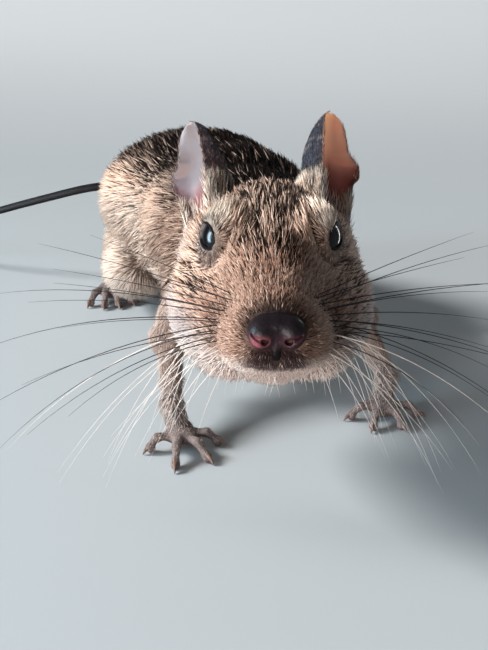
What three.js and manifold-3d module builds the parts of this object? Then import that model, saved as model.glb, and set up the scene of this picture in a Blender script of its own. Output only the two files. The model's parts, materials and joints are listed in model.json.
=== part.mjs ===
// A degu, life size and still, in millimetres: it crouches on all fours and stretches its head forward.
// +Z is up and the animal faces -Y. While it is built, the floor is z = 0, the tip of the nose is at
// y = 0, and the plane x = 0 halves the head. At the end the group is centred over its own origin.
import * as THREE from "three";
import { mergeVertices } from "three/addons/utils/BufferGeometryUtils.js";
import Module from "manifold-3d";

const wasm = await Module();
wasm.setup();

// Driving sizes
const GAP = 0.3; // between pieces that touch
const HEAD_WIDTH = 36; // over the fur of the cheeks
const EYE_RADIUS = 4.1;
const EYE_SPACING = 14.2; // between the centres of the two eyeballs
const EAR_THICKNESS = 0.8;
const NOSE_WIDTH = 7.9;
const WHISKER_ROOT = 0.56; // thickness of a whisker where it leaves the lip
const BACK_HEIGHT = 52; // top of the loins above the floor
const HIP_WIDTH = 57;
const TAIL_WIDTH = 3.9; // with its short hair, beyond the thick root
const FORE_DIGIT_WIDTH = 2;
const HIND_DIGIT_WIDTH = 2.6;
const LEFT_HIND_STEP = -6; // how far the left hind foot stands ahead of the right one
const ROOM = 400; // wider than the animal

const vec = (x, y, z) => new THREE.Vector3(x, y, z);
const lerp = THREE.MathUtils.lerp;
const clamp = THREE.MathUtils.clamp;
const rad = THREE.MathUtils.degToRad;

// Seeded draws, so that every build gives the same whiskers and locks.
function draws(seed) {
  let state = seed;
  return (low, high) => {
    state = (state * 1103515245 + 12345) % 2147483648;
    return lerp(low, high, state / 2147483648);
  };
}

// Fields: each gives the distance from a point to a rounded form, below zero inside it.
function egg(centre, radii, turn = 0) {
  const back = new THREE.Matrix4().makeRotationZ(-rad(turn));
  const q = vec(0, 0, 0);
  return (p) => {
    q.copy(p).sub(centre).applyMatrix4(back);
    const near = Math.hypot(q.x / radii[0], q.y / radii[1], q.z / radii[2]);
    const steep = Math.hypot(q.x / radii[0] ** 2, q.y / radii[1] ** 2, q.z / radii[2] ** 2);
    return steep > 0 ? (near * (near - 1)) / steep : -Math.min(...radii);
  };
}

function limb(from, to, fromRadius, toRadius) {
  const axis = to.clone().sub(from);
  const q = vec(0, 0, 0);
  return (p) => {
    q.copy(p).sub(from);
    const share = clamp(q.dot(axis) / axis.lengthSq(), 0, 1);
    return q.addScaledVector(axis, -share).length() - lerp(fromRadius, toRadius, share);
  };
}

// Joins fields with a fillet about as wide as softness.
function blend(softness, ...fields) {
  return (p) =>
    fields.reduce((sum, field) => {
      const next = field(p);
      const near = Math.max(softness - Math.abs(sum - next), 0) / softness;
      return Math.min(sum, next) - (near * near * softness) / 4;
    }, Infinity);
}

// Takes a hollow out of a field, with a rounded rim.
const hollow = (softness, field, ...dips) => {
  const dug = blend(softness, (p) => -field(p), ...dips);
  return (p) => -dug(p);
};

const onSide = (p, side) => vec(side * p.x, p.y, p.z);
const bothSides = (make, centre, ...rest) => [1, -1].map((side) => make(onSide(centre, side), ...rest));

function indexed(points, index) {
  const geometry = new THREE.BufferGeometry();
  const numbers = points.flatMap((p) => [p.x, p.y, p.z]);
  geometry.setAttribute("position", new THREE.Float32BufferAttribute(numbers, 3));
  geometry.setIndex(index);
  return geometry;
}

// Builds a closed geometry from rings of points that run from pole to pole.
function closeRings(first, rings, last) {
  const sides = rings[0].length;
  const points = [first, ...rings.flat(), last];
  const index = [];
  for (let k = 0; k < sides; k++) {
    const next = (k + 1) % sides;
    index.push(0, 1 + next, 1 + k);
    for (let r = 0; r + 1 < rings.length; r++) {
      const low = 1 + r * sides;
      const high = low + sides;
      index.push(low + k, low + next, high + next, low + k, high + next, high + k);
    }
    const end = 1 + (rings.length - 1) * sides;
    index.push(end + k, end + next, points.length - 1);
  }
  return indexed(points, index);
}

// A frame square to a curve, with side level and up as near to +Z as it can be.
function frameAt(curve, u) {
  const along = curve.getTangentAt(u).normalize();
  const side = vec(0, 0, 1).cross(along);
  if (side.length() < 1e-3) side.set(1, 0, 0);
  side.normalize();
  return { along, side, up: along.clone().cross(side) };
}

// Lays a skin over a field: rays run out from a spine until they leave the field, in rings square to
// the spine, and tip over towards its ends to close them.
function skin(field, spine, stations, sides, capRings, reach = 60) {
  const surface = (centre, direction) => {
    let inside = 0;
    let outside = 0.2;
    const p = vec(0, 0, 0);
    const at = (r) => field(p.copy(centre).addScaledVector(direction, r));
    while (at(outside) < 0 && outside < reach) {
      inside = outside;
      outside += 0.4;
    }
    for (let k = 0; k < 18; k++) {
      const middle = (inside + outside) / 2;
      if (at(middle) < 0) inside = middle;
      else outside = middle;
    }
    return centre.clone().addScaledVector(direction, outside);
  };
  const ring = (u, tip) => {
    const { along, side, up } = frameAt(spine, u);
    const centre = spine.getPointAt(u);
    return Array.from({ length: sides }, (_, k) => {
      const angle = (2 * Math.PI * k) / sides;
      const outwards = side.clone().multiplyScalar(Math.cos(angle)).addScaledVector(up, Math.sin(angle));
      return surface(centre, outwards.multiplyScalar(Math.cos(tip)).addScaledVector(along, Math.sin(tip)));
    });
  };
  const tips = Array.from({ length: capRings }, (_, k) => ((k + 1) / (capRings + 1)) * (Math.PI / 2));
  const rings = [
    ...tips.toReversed().map((tip) => ring(0, -tip)),
    ...stations.map((u) => ring(u, 0)),
    ...tips.map((tip) => ring(1, tip)),
  ];
  const pole = (u, sign) => surface(spine.getPointAt(u), frameAt(spine, u).along.multiplyScalar(sign));
  return closeRings(pole(0, -1), rings, pole(1, 1));
}

const evenly = (count, from = 0, to = 1) =>
  Array.from({ length: count }, (_, k) => lerp(from, to, k / (count - 1)));

// A tapered rod along a stretch of a curve. radius gives its half width at u, and flat its thickness
// over its width, which lies square to facing.
function rod(curve, radius, { from = 0, to = 1, sides = 6, steps = 5, flat = 1, facing } = {}) {
  const rings = evenly(steps + 1, from, to).map((u) => {
    const { along, side, up } = frameAt(curve, u);
    if (facing) {
      side.copy(along).cross(facing).normalize();
      up.copy(side).cross(along);
    }
    return Array.from({ length: sides }, (_, k) => {
      const angle = (2 * Math.PI * k) / sides;
      return curve
        .getPointAt(u)
        .addScaledVector(side, Math.cos(angle) * radius(u))
        .addScaledVector(up, Math.sin(angle) * radius(u) * flat);
    });
  });
  return closeRings(curve.getPointAt(from), rings, curve.getPointAt(to));
}

const bend = (...points) => new THREE.CatmullRomCurve3(points, false, "centripetal");

// Solids
function solid(geometry) {
  const bare = geometry.clone();
  for (const name of Object.keys(bare.attributes)) if (name !== "position") bare.deleteAttribute(name);
  const merged = mergeVertices(bare, 1e-4);
  const make = (triVerts) =>
    new wasm.Manifold(
      new wasm.Mesh({ numProp: 3, vertProperties: merged.attributes.position.array, triVerts }),
    );
  const made = make(new Uint32Array(merged.index.array));
  if (made.volume() > 0) return made;
  const turned = new Uint32Array(merged.index.array);
  for (let k = 0; k < turned.length; k += 3) [turned[k], turned[k + 1]] = [turned[k + 1], turned[k]];
  return make(turned);
}

const join = (first, ...others) => others.reduce((sum, other) => sum.add(other), first);
const cutBy = (first, ...others) => others.reduce((rest, other) => rest.subtract(other), first);
const largest = (s) => s.decompose().sort((a, b) => b.volume() - a.volume())[0];
const ball = (centre, radius) =>
  solid(new THREE.SphereGeometry(radius, 14, 9).translate(centre.x, centre.y, centre.z));

// The room above the floor: what reaches below it is cut to a flat that the animal stands on.
const room = solid(new THREE.BoxGeometry(ROOM, ROOM, ROOM).translate(0, 0, ROOM / 2));
const aboveFloor = (s) => s.intersect(room);

// Trunk: head, neck and torso as one skin over one field.
const headHalf = HEAD_WIDTH / 2;
const hipTurn = rad(12);
const hipCentre = vec(-18, 118, 0);
const atHips = (across, along, height) =>
  vec(
    hipCentre.x + across * Math.cos(hipTurn) - along * Math.sin(hipTurn),
    hipCentre.y + across * Math.sin(hipTurn) + along * Math.cos(hipTurn),
    height,
  );

const spine = bend(
  vec(0, 7.5, 31.5),
  vec(0, 20, 34),
  vec(0, 34, 34.5),
  vec(-0.5, 46, 33),
  vec(-2.5, 60, 29),
  vec(-7, 80, 27),
  vec(-13, 100, 27),
  vec(-18, 118, 27),
  vec(-21.5, 134, 26),
);
const skull = blend(
  5,
  egg(vec(0, 34, 36.3), [11.6, 17, 12.2]),
  limb(vec(0, 7.4, 32), vec(0, 24, 35), 6.2, 9.6),
  ...bothSides(egg, vec(headHalf - 8.8, 29, 28), [8.6, 13, 9.6]),
  ...bothSides(egg, vec(headHalf - 9.6, 40, 33), [8.4, 12, 9.4]),
);
const orbits = bothSides(egg, vec(14.5, 19, 41), [5, 6, 5.5]);
const lips = blend(2, ...bothSides(egg, vec(3.6, 7.4, 30.2), [4.5, 6.4, 4.3]));
const chin = limb(vec(0, 8.5, 26.6), vec(0, 26, 25.5), 3.2, 7);
const brows = blend(2, ...bothSides(egg, vec(6.2, 26.5, 43.6), [2.6, 5, 2.2]));
const jowls = blend(2, ...bothSides(egg, vec(7, 17.5, 26.6), [6.3, 9.5, 5.8]));
const head = hollow(4, blend(3, skull, lips, chin, jowls, brows), ...orbits);
const neck = limb(vec(0, 42, 32.5), vec(-2.5, 62, 29), 13.5, 17.5);
const belly = blend(
  8,
  egg(vec(-3, 66, 27), [20, 20, 18.5]),
  egg(vec(-7, 88, 28.8), [24, 30, 21.4], 12),
  egg(atHips(0, -8, 23.5), [22, 28, 17.5], 12),
  egg(atHips(0, -5, 31.5), [HIP_WIDTH / 2, 27, BACK_HEIGHT - 31.5], 12),
  egg(atHips(0, 17, 27), [22, 19, 19], 12),
);
const trunk = blend(6, head, neck, belly);
const headShare = 0.36; // of the spine's length, to the back of the skull
const stations = [...evenly(20, 0, headShare), ...evenly(12, headShare + 0.03, 1)];
const trunkSkin = (margin) => solid(skin((p) => trunk(p) - margin, spine, stations, 32, 5));
const whole = trunkSkin(0);
const grown = trunkSkin(GAP);

// Thin cuts square to the spine part the head, the neck and the torso.
function slab(u) {
  const { along, side, up } = frameAt(spine, u);
  const turn = new THREE.Matrix4().makeBasis(side, along, up).setPosition(spine.getPointAt(u));
  const wide = 120;
  return solid(new THREE.BoxGeometry(wide, GAP, wide).applyMatrix4(turn));
}
const middleOf = (s) => {
  const { min, max } = s.boundingBox();
  return (min[1] + max[1]) / 2;
};
const [headPart, neckPart, torsoPart] = cutBy(whole, slab(0.345), slab(0.43))
  .decompose()
  .sort((a, b) => middleOf(a) - middleOf(b));

// Eyes and lids
const eyeCentre = vec(EYE_SPACING / 2, 25.8, 40.4);
const gaze = vec(0.82, -0.5, 0.26).normalize();
function lid(side) {
  const turn = new THREE.Quaternion().setFromUnitVectors(vec(0, 0, 1), gaze);
  const ring = new THREE.TorusGeometry(EYE_RADIUS * 0.7, 0.65, 5, 14).scale(1.06, 0.98, 1);
  const at = eyeCentre.clone().addScaledVector(gaze, EYE_RADIUS * 0.78);
  ring.applyMatrix4(new THREE.Matrix4().compose(at, turn, vec(1, 1, 1)));
  return solid(ring.scale(side, 1, 1));
}
const eye = (side) => ball(onSide(eyeCentre, side), EYE_RADIUS);
const socket = (side) => ball(onSide(eyeCentre, side), EYE_RADIUS + GAP);

// Nose
const noseHalf = NOSE_WIDTH / 2;
const noseField = blend(
  0.8,
  ...bothSides(egg, vec(noseHalf - 1.9, 2, 32.8), [1.95, 2.3, 2.3]),
  egg(vec(0, 2.4, 33.9), [2.6, 2.2, 1.6]),
  egg(vec(0, 1.8, 30.6), [0.9, 1.5, 1.9]),
);
const noseSpine = bend(vec(-1.4, 2.4, 33), vec(1.4, 2.4, 33));
const noseSkin = (margin) => solid(skin((p) => noseField(p) - margin, noseSpine, evenly(5), 14, 3));
const nostril = (side) =>
  solid(
    rod(
      bend(vec(side * 1.5, -1.2, 32.3), vec(side * 2.1, 0.6, 32.9), vec(side * 3.2, 1.4, 33.6)),
      (u) => lerp(0.75, 0.35, u),
      { steps: 4 },
    ),
  );
const philtrum = solid(new THREE.BoxGeometry(0.4, 2.2, 5).translate(0, 0.2, 30.2));

// Lower jaw: what lies under the mouth line, from the chin to the corner of the mouth
const mouthLine = new THREE.Shape([
  new THREE.Vector2(-4, 27.7),
  new THREE.Vector2(9, 27.2),
  new THREE.Vector2(14, 26),
  new THREE.Vector2(24, 16),
  new THREE.Vector2(-4, 16),
]);
const jawCutter = (margin) => {
  const wide = 60;
  const prism = new THREE.ExtrudeGeometry(mouthLine, { depth: wide, bevelEnabled: false });
  const turn = new THREE.Matrix4().makeBasis(vec(0, 1, 0), vec(0, 0, 1), vec(1, 0, 0));
  return solid(prism.applyMatrix4(turn).translate(-wide / 2, margin * 0.7, margin));
};

// Ears: each is a shell whose section, seen from its tip, runs from a front edge that is folded
// forwards, round the inner side of the ear, to the hind edge with its notch and lobe.
const profile = (points) => {
  const curve = new THREE.SplineCurve(points.map(([x, y]) => new THREE.Vector2(x, y)));
  return (x) => {
    let low = 0;
    let high = 1;
    for (let k = 0; k < 24; k++) {
      const middle = (low + high) / 2;
      if (curve.getPoint(middle).x < x) low = middle;
      else high = middle;
    }
    return curve.getPoint(low).y;
  };
};
const foldDepth = profile([[0, 0.8], [0.25, 0.95], [0.5, 1], [0.7, 0.8], [0.88, 0.46], [0.95, 0.24], [1, 0.08]]);
const hindReach = profile([
  [0, 4.4],
  [0.25, 4.8],
  [0.36, 5.6],
  [0.45, 6.6],
  [0.56, 6.1],
  [0.63, 3.9],
  [0.82, 3.3],
  [0.92, 2.5],
  [0.97, 1.9],
  [1, 1.2],
]);
// How far in from the ear's middle line its front edge and its inner side stand
const leftEar = {
  foot: vec(10.8, 42, 40.8),
  tip: vec(12.3, 54, 58.1),
  turn: 0,
  front: profile([[0, 1], [0.5, 1.25], [0.8, 1.25], [0.92, 1], [1, 0.5]]),
  side: profile([[0, 3.6], [0.25, 4.2], [0.5, 4.4], [0.7, 3.6], [0.9, 1.8], [1, 0.9]]),
};
const rightEar = {
  foot: vec(11.6, 42, 40.2),
  tip: vec(15.1, 54, 56.1),
  turn: 12,
  front: profile([[0, 1.8], [0.5, 2.5], [0.8, 2.3], [0.92, 1.6], [1, 0.7]]),
  side: profile([[0, 4.2], [0.25, 4.7], [0.5, 4.8], [0.7, 4.2], [0.9, 2.5], [1, 1]]),
};
function ear({ foot, tip, turn, front, side }) {
  const up = tip.clone().sub(foot);
  const length = up.length();
  up.normalize();
  const across = vec(1, 0, 0).addScaledVector(up, -up.x).normalize();
  const ahead = across.clone().cross(up);
  const spin = new THREE.Quaternion().setFromAxisAngle(up, rad(turn));
  across.applyQuaternion(spin);
  ahead.applyQuaternion(spin);
  const section = (s) => {
    const k = foldDepth(s);
    const hind = hindReach(s);
    const edge = front(s);
    const inner = side(s);
    return new THREE.SplineCurve(
      [
        [-edge, 4.5 * k],
        [-lerp(edge, inner, 0.8), 3 * k],
        [-inner, 0],
        [-0.73 * inner, -3.2 * k],
        [0.35 * hind, -4.6 * k],
        [hind, -0.8 * hind],
      ].map(([x, y]) => new THREE.Vector2(x, y)),
    );
  };
  const columns = 11;
  const rows = [-0.1, ...evenly(9, 0, 0.84), 0.92, 0.97, 1];
  const loops = rows.map((s) => {
    const curve = section(clamp(s, 0, 1));
    const place = (t, depth) => {
      const p = curve.getPoint(t);
      const way = curve.getTangent(t);
      return foot
        .clone()
        .addScaledVector(up, s * length)
        .addScaledVector(across, p.x - way.y * depth)
        .addScaledVector(ahead, p.y + way.x * depth);
    };
    const outer = (t) => EAR_THICKNESS * (1 - 0.3 * Math.abs(2 * t - 1)) * (1 - 0.5 * clamp(s, 0, 1));
    return [
      ...evenly(columns).map((t) => place(t, 0)),
      ...evenly(columns).toReversed().map((t) => place(t, -outer(t))),
    ];
  });
  return stripLoops(loops, columns);
}

// Closes the two faces of a thin leaf: loops run up one face and back down the other.
function stripLoops(loops, columns) {
  const size = 2 * columns;
  const index = [];
  for (let r = 0; r + 1 < loops.length; r++)
    for (let k = 0; k < size; k++) {
      const next = (k + 1) % size;
      const [a, b, c, d] = [r * size + k, r * size + next, (r + 1) * size + next, (r + 1) * size + k];
      // The two faces are split along matching diagonals.
      if (k < columns) index.push(a, b, c, a, c, d);
      else index.push(a, b, d, b, c, d);
    }
  for (const r of [0, loops.length - 1])
    for (let k = 0; k + 1 < columns; k++) {
      const [a, b] = [r * size + k, r * size + k + 1];
      const [c, d] = [r * size + size - 2 - k, r * size + size - 1 - k];
      if (r === 0) index.push(a, c, b, a, d, c);
      else index.push(a, b, c, a, c, d);
    }
  return indexed(loops.flat(), index);
}

// Where a level ray from the middle plane leaves the head
function headSurface(side, y, z) {
  let low = 0;
  let high = 30;
  for (let k = 0; k < 24; k++) {
    const middle = (low + high) / 2;
    if (trunk(vec(side * middle, y, z)) < 0) low = middle;
    else high = middle;
  }
  return vec(side * low, y, z);
}

// Whiskers: rows on each lip, the upper ones long and level, the lower ones short and hanging
const whiskerRows = [
  { height: 33.4, lift: 0.3, back: 0.5, length: 40, hang: 0.05, from: 8 },
  { height: 31.9, lift: 0.1, back: 0.25, length: 44, hang: 0.1, from: 7 },
  { height: 30.4, lift: -0.12, back: 0.15, length: 42, hang: 0.16, from: 6.4 },
  { height: 28.9, lift: -0.45, back: 0.1, length: 30, hang: 0.25, from: 6 },
];
function whiskers(side, seed) {
  const draw = draws(seed);
  return whiskerRows.flatMap(({ height, lift, back, length, hang, from }, row) =>
    [0, 1, 2].slice(row === 0 ? 1 : 0).map((column) => {
      const root = headSurface(side, from + 2.5 * column, height + 0.25 * column);
      const reach = length * (0.72 + 0.14 * column) * draw(0.94, 1.06);
      const swept = back * (0.2 + 0.6 * column) + draw(-0.06, 0.06);
      const way = vec(side, swept, lift + draw(-0.07, 0.07)).normalize();
      const sunk = root.clone().addScaledVector(way, -1.4);
      const half = root.clone().addScaledVector(way, reach * 0.5);
      const tip = root.clone().addScaledVector(way, reach).add(vec(-side * hang * 8, 2, -hang * reach));
      return solid(
        rod(bend(sunk, half, tip), (u) => lerp(WHISKER_ROOT / 2, 0.09, u), { sides: 3, steps: 5 }),
      );
    }),
  );
}
const padCutter = (side, margin) =>
  solid(
    new THREE.SphereGeometry(1, 12, 8)
      .scale(4.4 + margin, 6.2 + margin, 4.7 + margin)
      .translate(side * 8.2, 9.8, 30.9),
  );

// Feet: a sole with digits that fan out to their tips on the floor, each with its claw
function digit(from, tip, width, claw) {
  const way = tip.clone().sub(from).setZ(0).normalize();
  const knuckle = from.clone().lerp(tip, 0.45).setZ(from.z + 0.6);
  const clawRoot = tip.clone().addScaledVector(way, -claw).setZ(width * 0.36);
  const end = clawRoot.clone().addScaledVector(way, 0.4);
  const finger = solid(
    rod(bend(from, knuckle, end), (u) => (width / 2) * (1.02 - 0.16 * u + 0.14 * Math.cos(9.4 * u)), {
      sides: 5,
      steps: 3,
    }),
  );
  const nail = solid(
    rod(
      bend(
        clawRoot.clone().addScaledVector(way, -1.1).setZ(width * 0.62),
        clawRoot.clone().addScaledVector(way, claw * 0.5).setZ(width * 0.5),
        tip.clone().setZ(0.12),
      ),
      (u) => lerp(0.55, 0.1, u),
      { sides: 3, steps: 2, flat: 1.2 },
    ),
  );
  return join(finger, nail);
}
function foot({ soleField, soleSpine, roots, tips, width, claw, clear }) {
  const sole = solid(skin(soleField, soleSpine, evenly(5), 10, 2));
  const digits = roots.map((root, k) => digit(root, tips[k], width, claw));
  return largest(cutBy(aboveFloor(join(sole, ...digits)), clear));
}

// Forelegs
function foreleg({ shoulder, elbow, wrist }) {
  const field = (margin) => (p) =>
    blend(3, limb(shoulder, elbow, 7.5, 4.2), limb(elbow, wrist, 3.6, 2.1))(p) - margin;
  const line = bend(shoulder, elbow.clone().lerp(shoulder, 0.15), elbow.clone().lerp(wrist, 0.2), wrist);
  return (margin) => solid(skin(field(margin), line, evenly(9), 10, 2));
}
function forepaw({ wrist, palm, tips, thumb }, clear) {
  const front = tips.reduce((sum, p) => sum.add(p), vec(0, 0, 0)).divideScalar(tips.length);
  const ahead = front.clone().sub(palm).setZ(0).normalize();
  const pad = egg(palm.clone().addScaledVector(ahead, 1.5), [3, 2.8, 1.9]);
  const soleField = blend(1.5, limb(wrist, palm, 2.1, 2.5), pad);
  const roots = tips.map((tip) =>
    palm.clone().addScaledVector(tip.clone().sub(palm).setZ(0).normalize(), 2.4).setZ(2.2),
  );
  return foot({
    soleField,
    soleSpine: bend(wrist, palm.clone().addScaledVector(ahead, 2)),
    roots: [...roots, palm.clone()],
    tips: [...tips, thumb],
    width: FORE_DIGIT_WIDTH,
    claw: 1.9,
    clear,
  });
}
const rightArm = { shoulder: vec(-15, 61, 22), elbow: vec(-19.6, 50, 14), wrist: vec(-18.3, 34.6, 6.6) };
const leftArm = { shoulder: vec(10, 66, 22), elbow: vec(20.5, 62, 14.5), wrist: vec(24.8, 46.5, 7) };
const rightHand = {
  wrist: vec(-18.1, 33.6, 6),
  palm: vec(-16.6, 31, 2.1),
  tips: [vec(-22.8, 25.9, 0), vec(-16.4, 19.4, 0), vec(-9.8, 22.2, 0), vec(-7.6, 29.2, 0)],
  thumb: vec(-13, 34, 0),
};
const leftHand = {
  wrist: vec(24.7, 45.5, 6.4),
  palm: vec(23.6, 43, 2.1),
  tips: [vec(15.4, 39, 0), vec(20, 33.8, 0), vec(26.8, 34.2, 0), vec(32, 40.4, 0)],
  thumb: vec(20, 45.6, 0),
};

// Hind legs
function hindleg(side, shift) {
  const knee = atHips(side * 20.5, -16, 14);
  const heel = atHips(side * 22.3, 28 + shift, 6.2);
  const field = blend(
    5,
    egg(atHips(side * 17.5, -1, 18.5), [10.4, 19, 13.5], 12),
    limb(knee, heel, 7, 2.7),
  );
  const line = bend(
    atHips(side * 19, -12, 17.5),
    atHips(side * 18.5, 0, 17.5),
    atHips(side * 20, 12, 12),
    atHips(side * 21.5, 20 + shift * 0.6, 8.6),
    atHips(side * 22.2, 26 + shift, 6.6),
  );
  return (margin) => solid(skin((p) => field(p) - margin, line, evenly(9), 16, 3));
}
function hindfoot(side, shift, clear) {
  const heel = atHips(side * 22.5, 29.5 + shift, 2.1);
  const ball = atHips(side * 26, 9 + shift, 2);
  const soleField = blend(2, limb(heel, ball, 2.7, 2.6), egg(ball, [3.9, 3.6, 2.4], 12));
  const fan = [-7, -2.4, 2.2, 6.6];
  const length = [11.5, 14.5, 14.5, 12];
  const tips = fan.map((across, k) => atHips(side * 26 + across, 9 + shift - length[k], 0));
  const roots = fan.map((across) => atHips(side * 26 + across * 0.36, 9 + shift - 1.8, 2.6));
  return foot({
    soleField,
    soleSpine: bend(heel, ball),
    roots: [...roots, atHips(side * 24, 12 + shift, 2)],
    tips: [...tips, atHips(side * 18.8, 6 + shift, 0)],
    width: HIND_DIGIT_WIDTH,
    claw: 2.6,
    clear,
  });
}

// Tail: three lengths of one curve, the last with the brush of dark hair
const tailCurve = bend(
  atHips(0, 26, 24),
  vec(-29, 152, 27.5),
  vec(-42, 152.5, 29),
  vec(-54.7, 148.5, 28.5),
  vec(-70, 148.5, 25),
  vec(-86.3, 151, 20.5),
  vec(-102, 156, 15.5),
  vec(-116, 163, 11),
  vec(-128, 171, 8.5),
);
const tailRadius = (u) => (TAIL_WIDTH / 2) * (1 + 0.75 * Math.exp(-u / 0.07) - 0.3 * u);
const brushFrom = 0.66;
const tailLength = tailCurve.getLength();
const tailJoint = GAP / tailLength;
const tailPiece = (from, to, steps) =>
  solid(rod(tailCurve, tailRadius, { from, to: to - tailJoint, sides: 10, steps }));
const tailRoom = () =>
  solid(rod(tailCurve, (u) => tailRadius(u) + 1.5 * GAP, { to: 0.2, sides: 10, steps: 10 }));
function brush() {
  const draw = draws(7);
  const locks = [];
  const rows = 6;
  for (let row = 0; row < rows; row++) {
    const u = lerp(brushFrom + 0.03, 0.965, row / (rows - 1));
    const { along, side, up } = frameAt(tailCurve, u);
    const around = 4;
    for (let k = 0; k < around; k++) {
      const angle = (2 * Math.PI * (k + 0.5 * (row % 2))) / around + draw(-0.3, 0.3);
      const out = side.clone().multiplyScalar(Math.cos(angle)).addScaledVector(up, Math.sin(angle));
      const long = draw(11, 14);
      const core = tailCurve.getPointAt(u);
      const root = core.clone().addScaledVector(out, tailRadius(u) * 0.45);
      const at = (share, clear) =>
        core.clone().addScaledVector(along, long * share).addScaledVector(out, tailRadius(u) + clear);
      const line = bend(root, at(0.5, 0.7), at(1, draw(0.6, 1.8)));
      const breadth = (v) => 1.35 * Math.sin(Math.PI * clamp(0.28 + 0.7 * v, 0, 0.98));
      locks.push(solid(rod(line, breadth, { sides: 4, steps: 2, flat: 0.4, facing: out })));
    }
  }
  return locks;
}

// Materials
const finish = (color, roughness) => new THREE.MeshStandardMaterial({ color, roughness, metalness: 0 });
const headFur = finish(0x8a6647, 0.9);
const bodyFur = finish(0x7d6550, 0.92);
const paleFur = finish(0xb9a78f, 0.9);
const footSkin = finish(0x9a8b85, 0.7);
const earSkin = finish(0x7b4a3a, 0.65);
const noseSkinColour = finish(0x3a2227, 0.35);
const eyeGloss = finish(0x0c0d10, 0.08);
const tailFur = finish(0x2b2422, 0.85);

const group = new THREE.Group();
function addNode(name, s, material) {
  const { vertProperties, triVerts } = s.getMesh();
  const geometry = new THREE.BufferGeometry();
  geometry.setAttribute("position", new THREE.BufferAttribute(vertProperties, 3));
  geometry.setIndex(new THREE.BufferAttribute(triVerts, 1));
  const mesh = new THREE.Mesh(geometry, material);
  mesh.name = name;
  group.add(mesh);
}

// Assembly
const nose = cutBy(noseSkin(0), nostril(1), nostril(-1), philtrum);
const headWithLids = join(headPart, lid(1), lid(-1));
const face = cutBy(headWithLids, socket(1), socket(-1), noseSkin(GAP), philtrum);
const jaw = largest(face.intersect(jawCutter(-GAP / 2)));
const upper = largest(cutBy(face, jawCutter(GAP / 2)));
const headRest = largest(cutBy(upper, padCutter(1, GAP), padCutter(-1, GAP)));
const pads = [1, -1].map((side) =>
  largest(join(largest(upper.intersect(padCutter(side, 0))), ...whiskers(side, side > 0 ? 11 : 23))),
);
addNode("head", headRest, headFur);
addNode("lower_jaw", jaw, paleFur);
addNode("nose", largest(nose), noseSkinColour);
addNode("whiskers_left", pads[0], headFur);
addNode("whiskers_right", pads[1], headFur);
addNode("eye_left", eye(1), eyeGloss);
addNode("eye_right", eye(-1), eyeGloss);
addNode("ear_left", largest(cutBy(solid(ear(leftEar)), grown)), earSkin);
addNode("ear_right", largest(cutBy(solid(ear(rightEar).scale(-1, 1, 1)), grown)), earSkin);
addNode("neck", neckPart, bodyFur);

const arms = [foreleg(leftArm), foreleg(rightArm)];
const legs = [hindleg(1, LEFT_HIND_STEP), hindleg(-1, 0)];
const armRooms = arms.map((make) => make(GAP));
const legRooms = legs.map((make) => make(GAP));
addNode("torso", largest(cutBy(aboveFloor(torsoPart), ...armRooms, ...legRooms, tailRoom())), bodyFur);
const hands = [leftHand, rightHand].map((hand, k) => forepaw(hand, armRooms[k]));
const feet = [hindfoot(1, LEFT_HIND_STEP, legRooms[0]), hindfoot(-1, 0, legRooms[1])];
["left", "right"].forEach((name, k) => {
  addNode(`foreleg_${name}`, largest(cutBy(aboveFloor(arms[k](0)), neckPart)), paleFur);
  addNode(`forepaw_${name}`, hands[k], footSkin);
  addNode(`hindleg_${name}`, largest(aboveFloor(legs[k](0))), bodyFur);
  addNode(`hindfoot_${name}`, feet[k], footSkin);
});
addNode("tail_base", tailPiece(0.02, 0.34, 10), tailFur);
addNode("tail_middle", tailPiece(0.34, brushFrom, 9), tailFur);
addNode("tail_brush", largest(join(tailPiece(brushFrom, 0.99, 8), ...brush())), tailFur);

const box = new THREE.Box3().setFromObject(group);
const middle = box.getCenter(vec(0, 0, 0));
group.position.set(-middle.x, -middle.y, 0);

export default group;
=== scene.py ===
# %% [markdown]
# # A degu, life size and still
# A degu is a small brown rodent with thin bare ears, a blunt muzzle, long whiskers and a tail that
# ends in a brush. This one crouches and stretches its head towards the viewer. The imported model
# gives its size and pose, and this script dresses it: one skin, a coat of small tufts, eyes, ears,
# a nose, whiskers, claws and the tail.
#
# Everything is worked out in millimetres, with the nose tip at y = 0, the floor at z = 0 and the
# head halved by x = 0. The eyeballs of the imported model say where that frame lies.

import json
import math
from collections import namedtuple
from functools import partial

import bpy
import numpy as np
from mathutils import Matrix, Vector

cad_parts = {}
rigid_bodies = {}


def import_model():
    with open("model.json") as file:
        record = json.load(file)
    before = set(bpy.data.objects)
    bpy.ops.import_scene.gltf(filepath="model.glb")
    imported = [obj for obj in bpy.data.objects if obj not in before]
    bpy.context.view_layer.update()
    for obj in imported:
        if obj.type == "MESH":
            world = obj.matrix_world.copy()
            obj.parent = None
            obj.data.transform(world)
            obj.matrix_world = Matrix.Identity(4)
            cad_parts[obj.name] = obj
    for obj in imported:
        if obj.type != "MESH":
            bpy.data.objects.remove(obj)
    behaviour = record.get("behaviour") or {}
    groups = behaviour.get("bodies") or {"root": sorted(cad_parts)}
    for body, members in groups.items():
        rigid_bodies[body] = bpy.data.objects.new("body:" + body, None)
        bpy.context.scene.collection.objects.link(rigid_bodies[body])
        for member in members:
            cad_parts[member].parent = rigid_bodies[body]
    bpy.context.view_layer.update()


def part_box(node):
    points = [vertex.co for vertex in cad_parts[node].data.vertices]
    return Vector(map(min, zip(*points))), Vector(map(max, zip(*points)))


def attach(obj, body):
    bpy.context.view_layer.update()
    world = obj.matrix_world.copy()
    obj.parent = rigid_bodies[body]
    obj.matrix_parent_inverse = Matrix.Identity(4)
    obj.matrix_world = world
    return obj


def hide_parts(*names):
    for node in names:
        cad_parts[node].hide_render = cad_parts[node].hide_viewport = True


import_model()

MM = 0.001
TINY = 1e-6
SIDES = {"left": 1, "right": -1}
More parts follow.
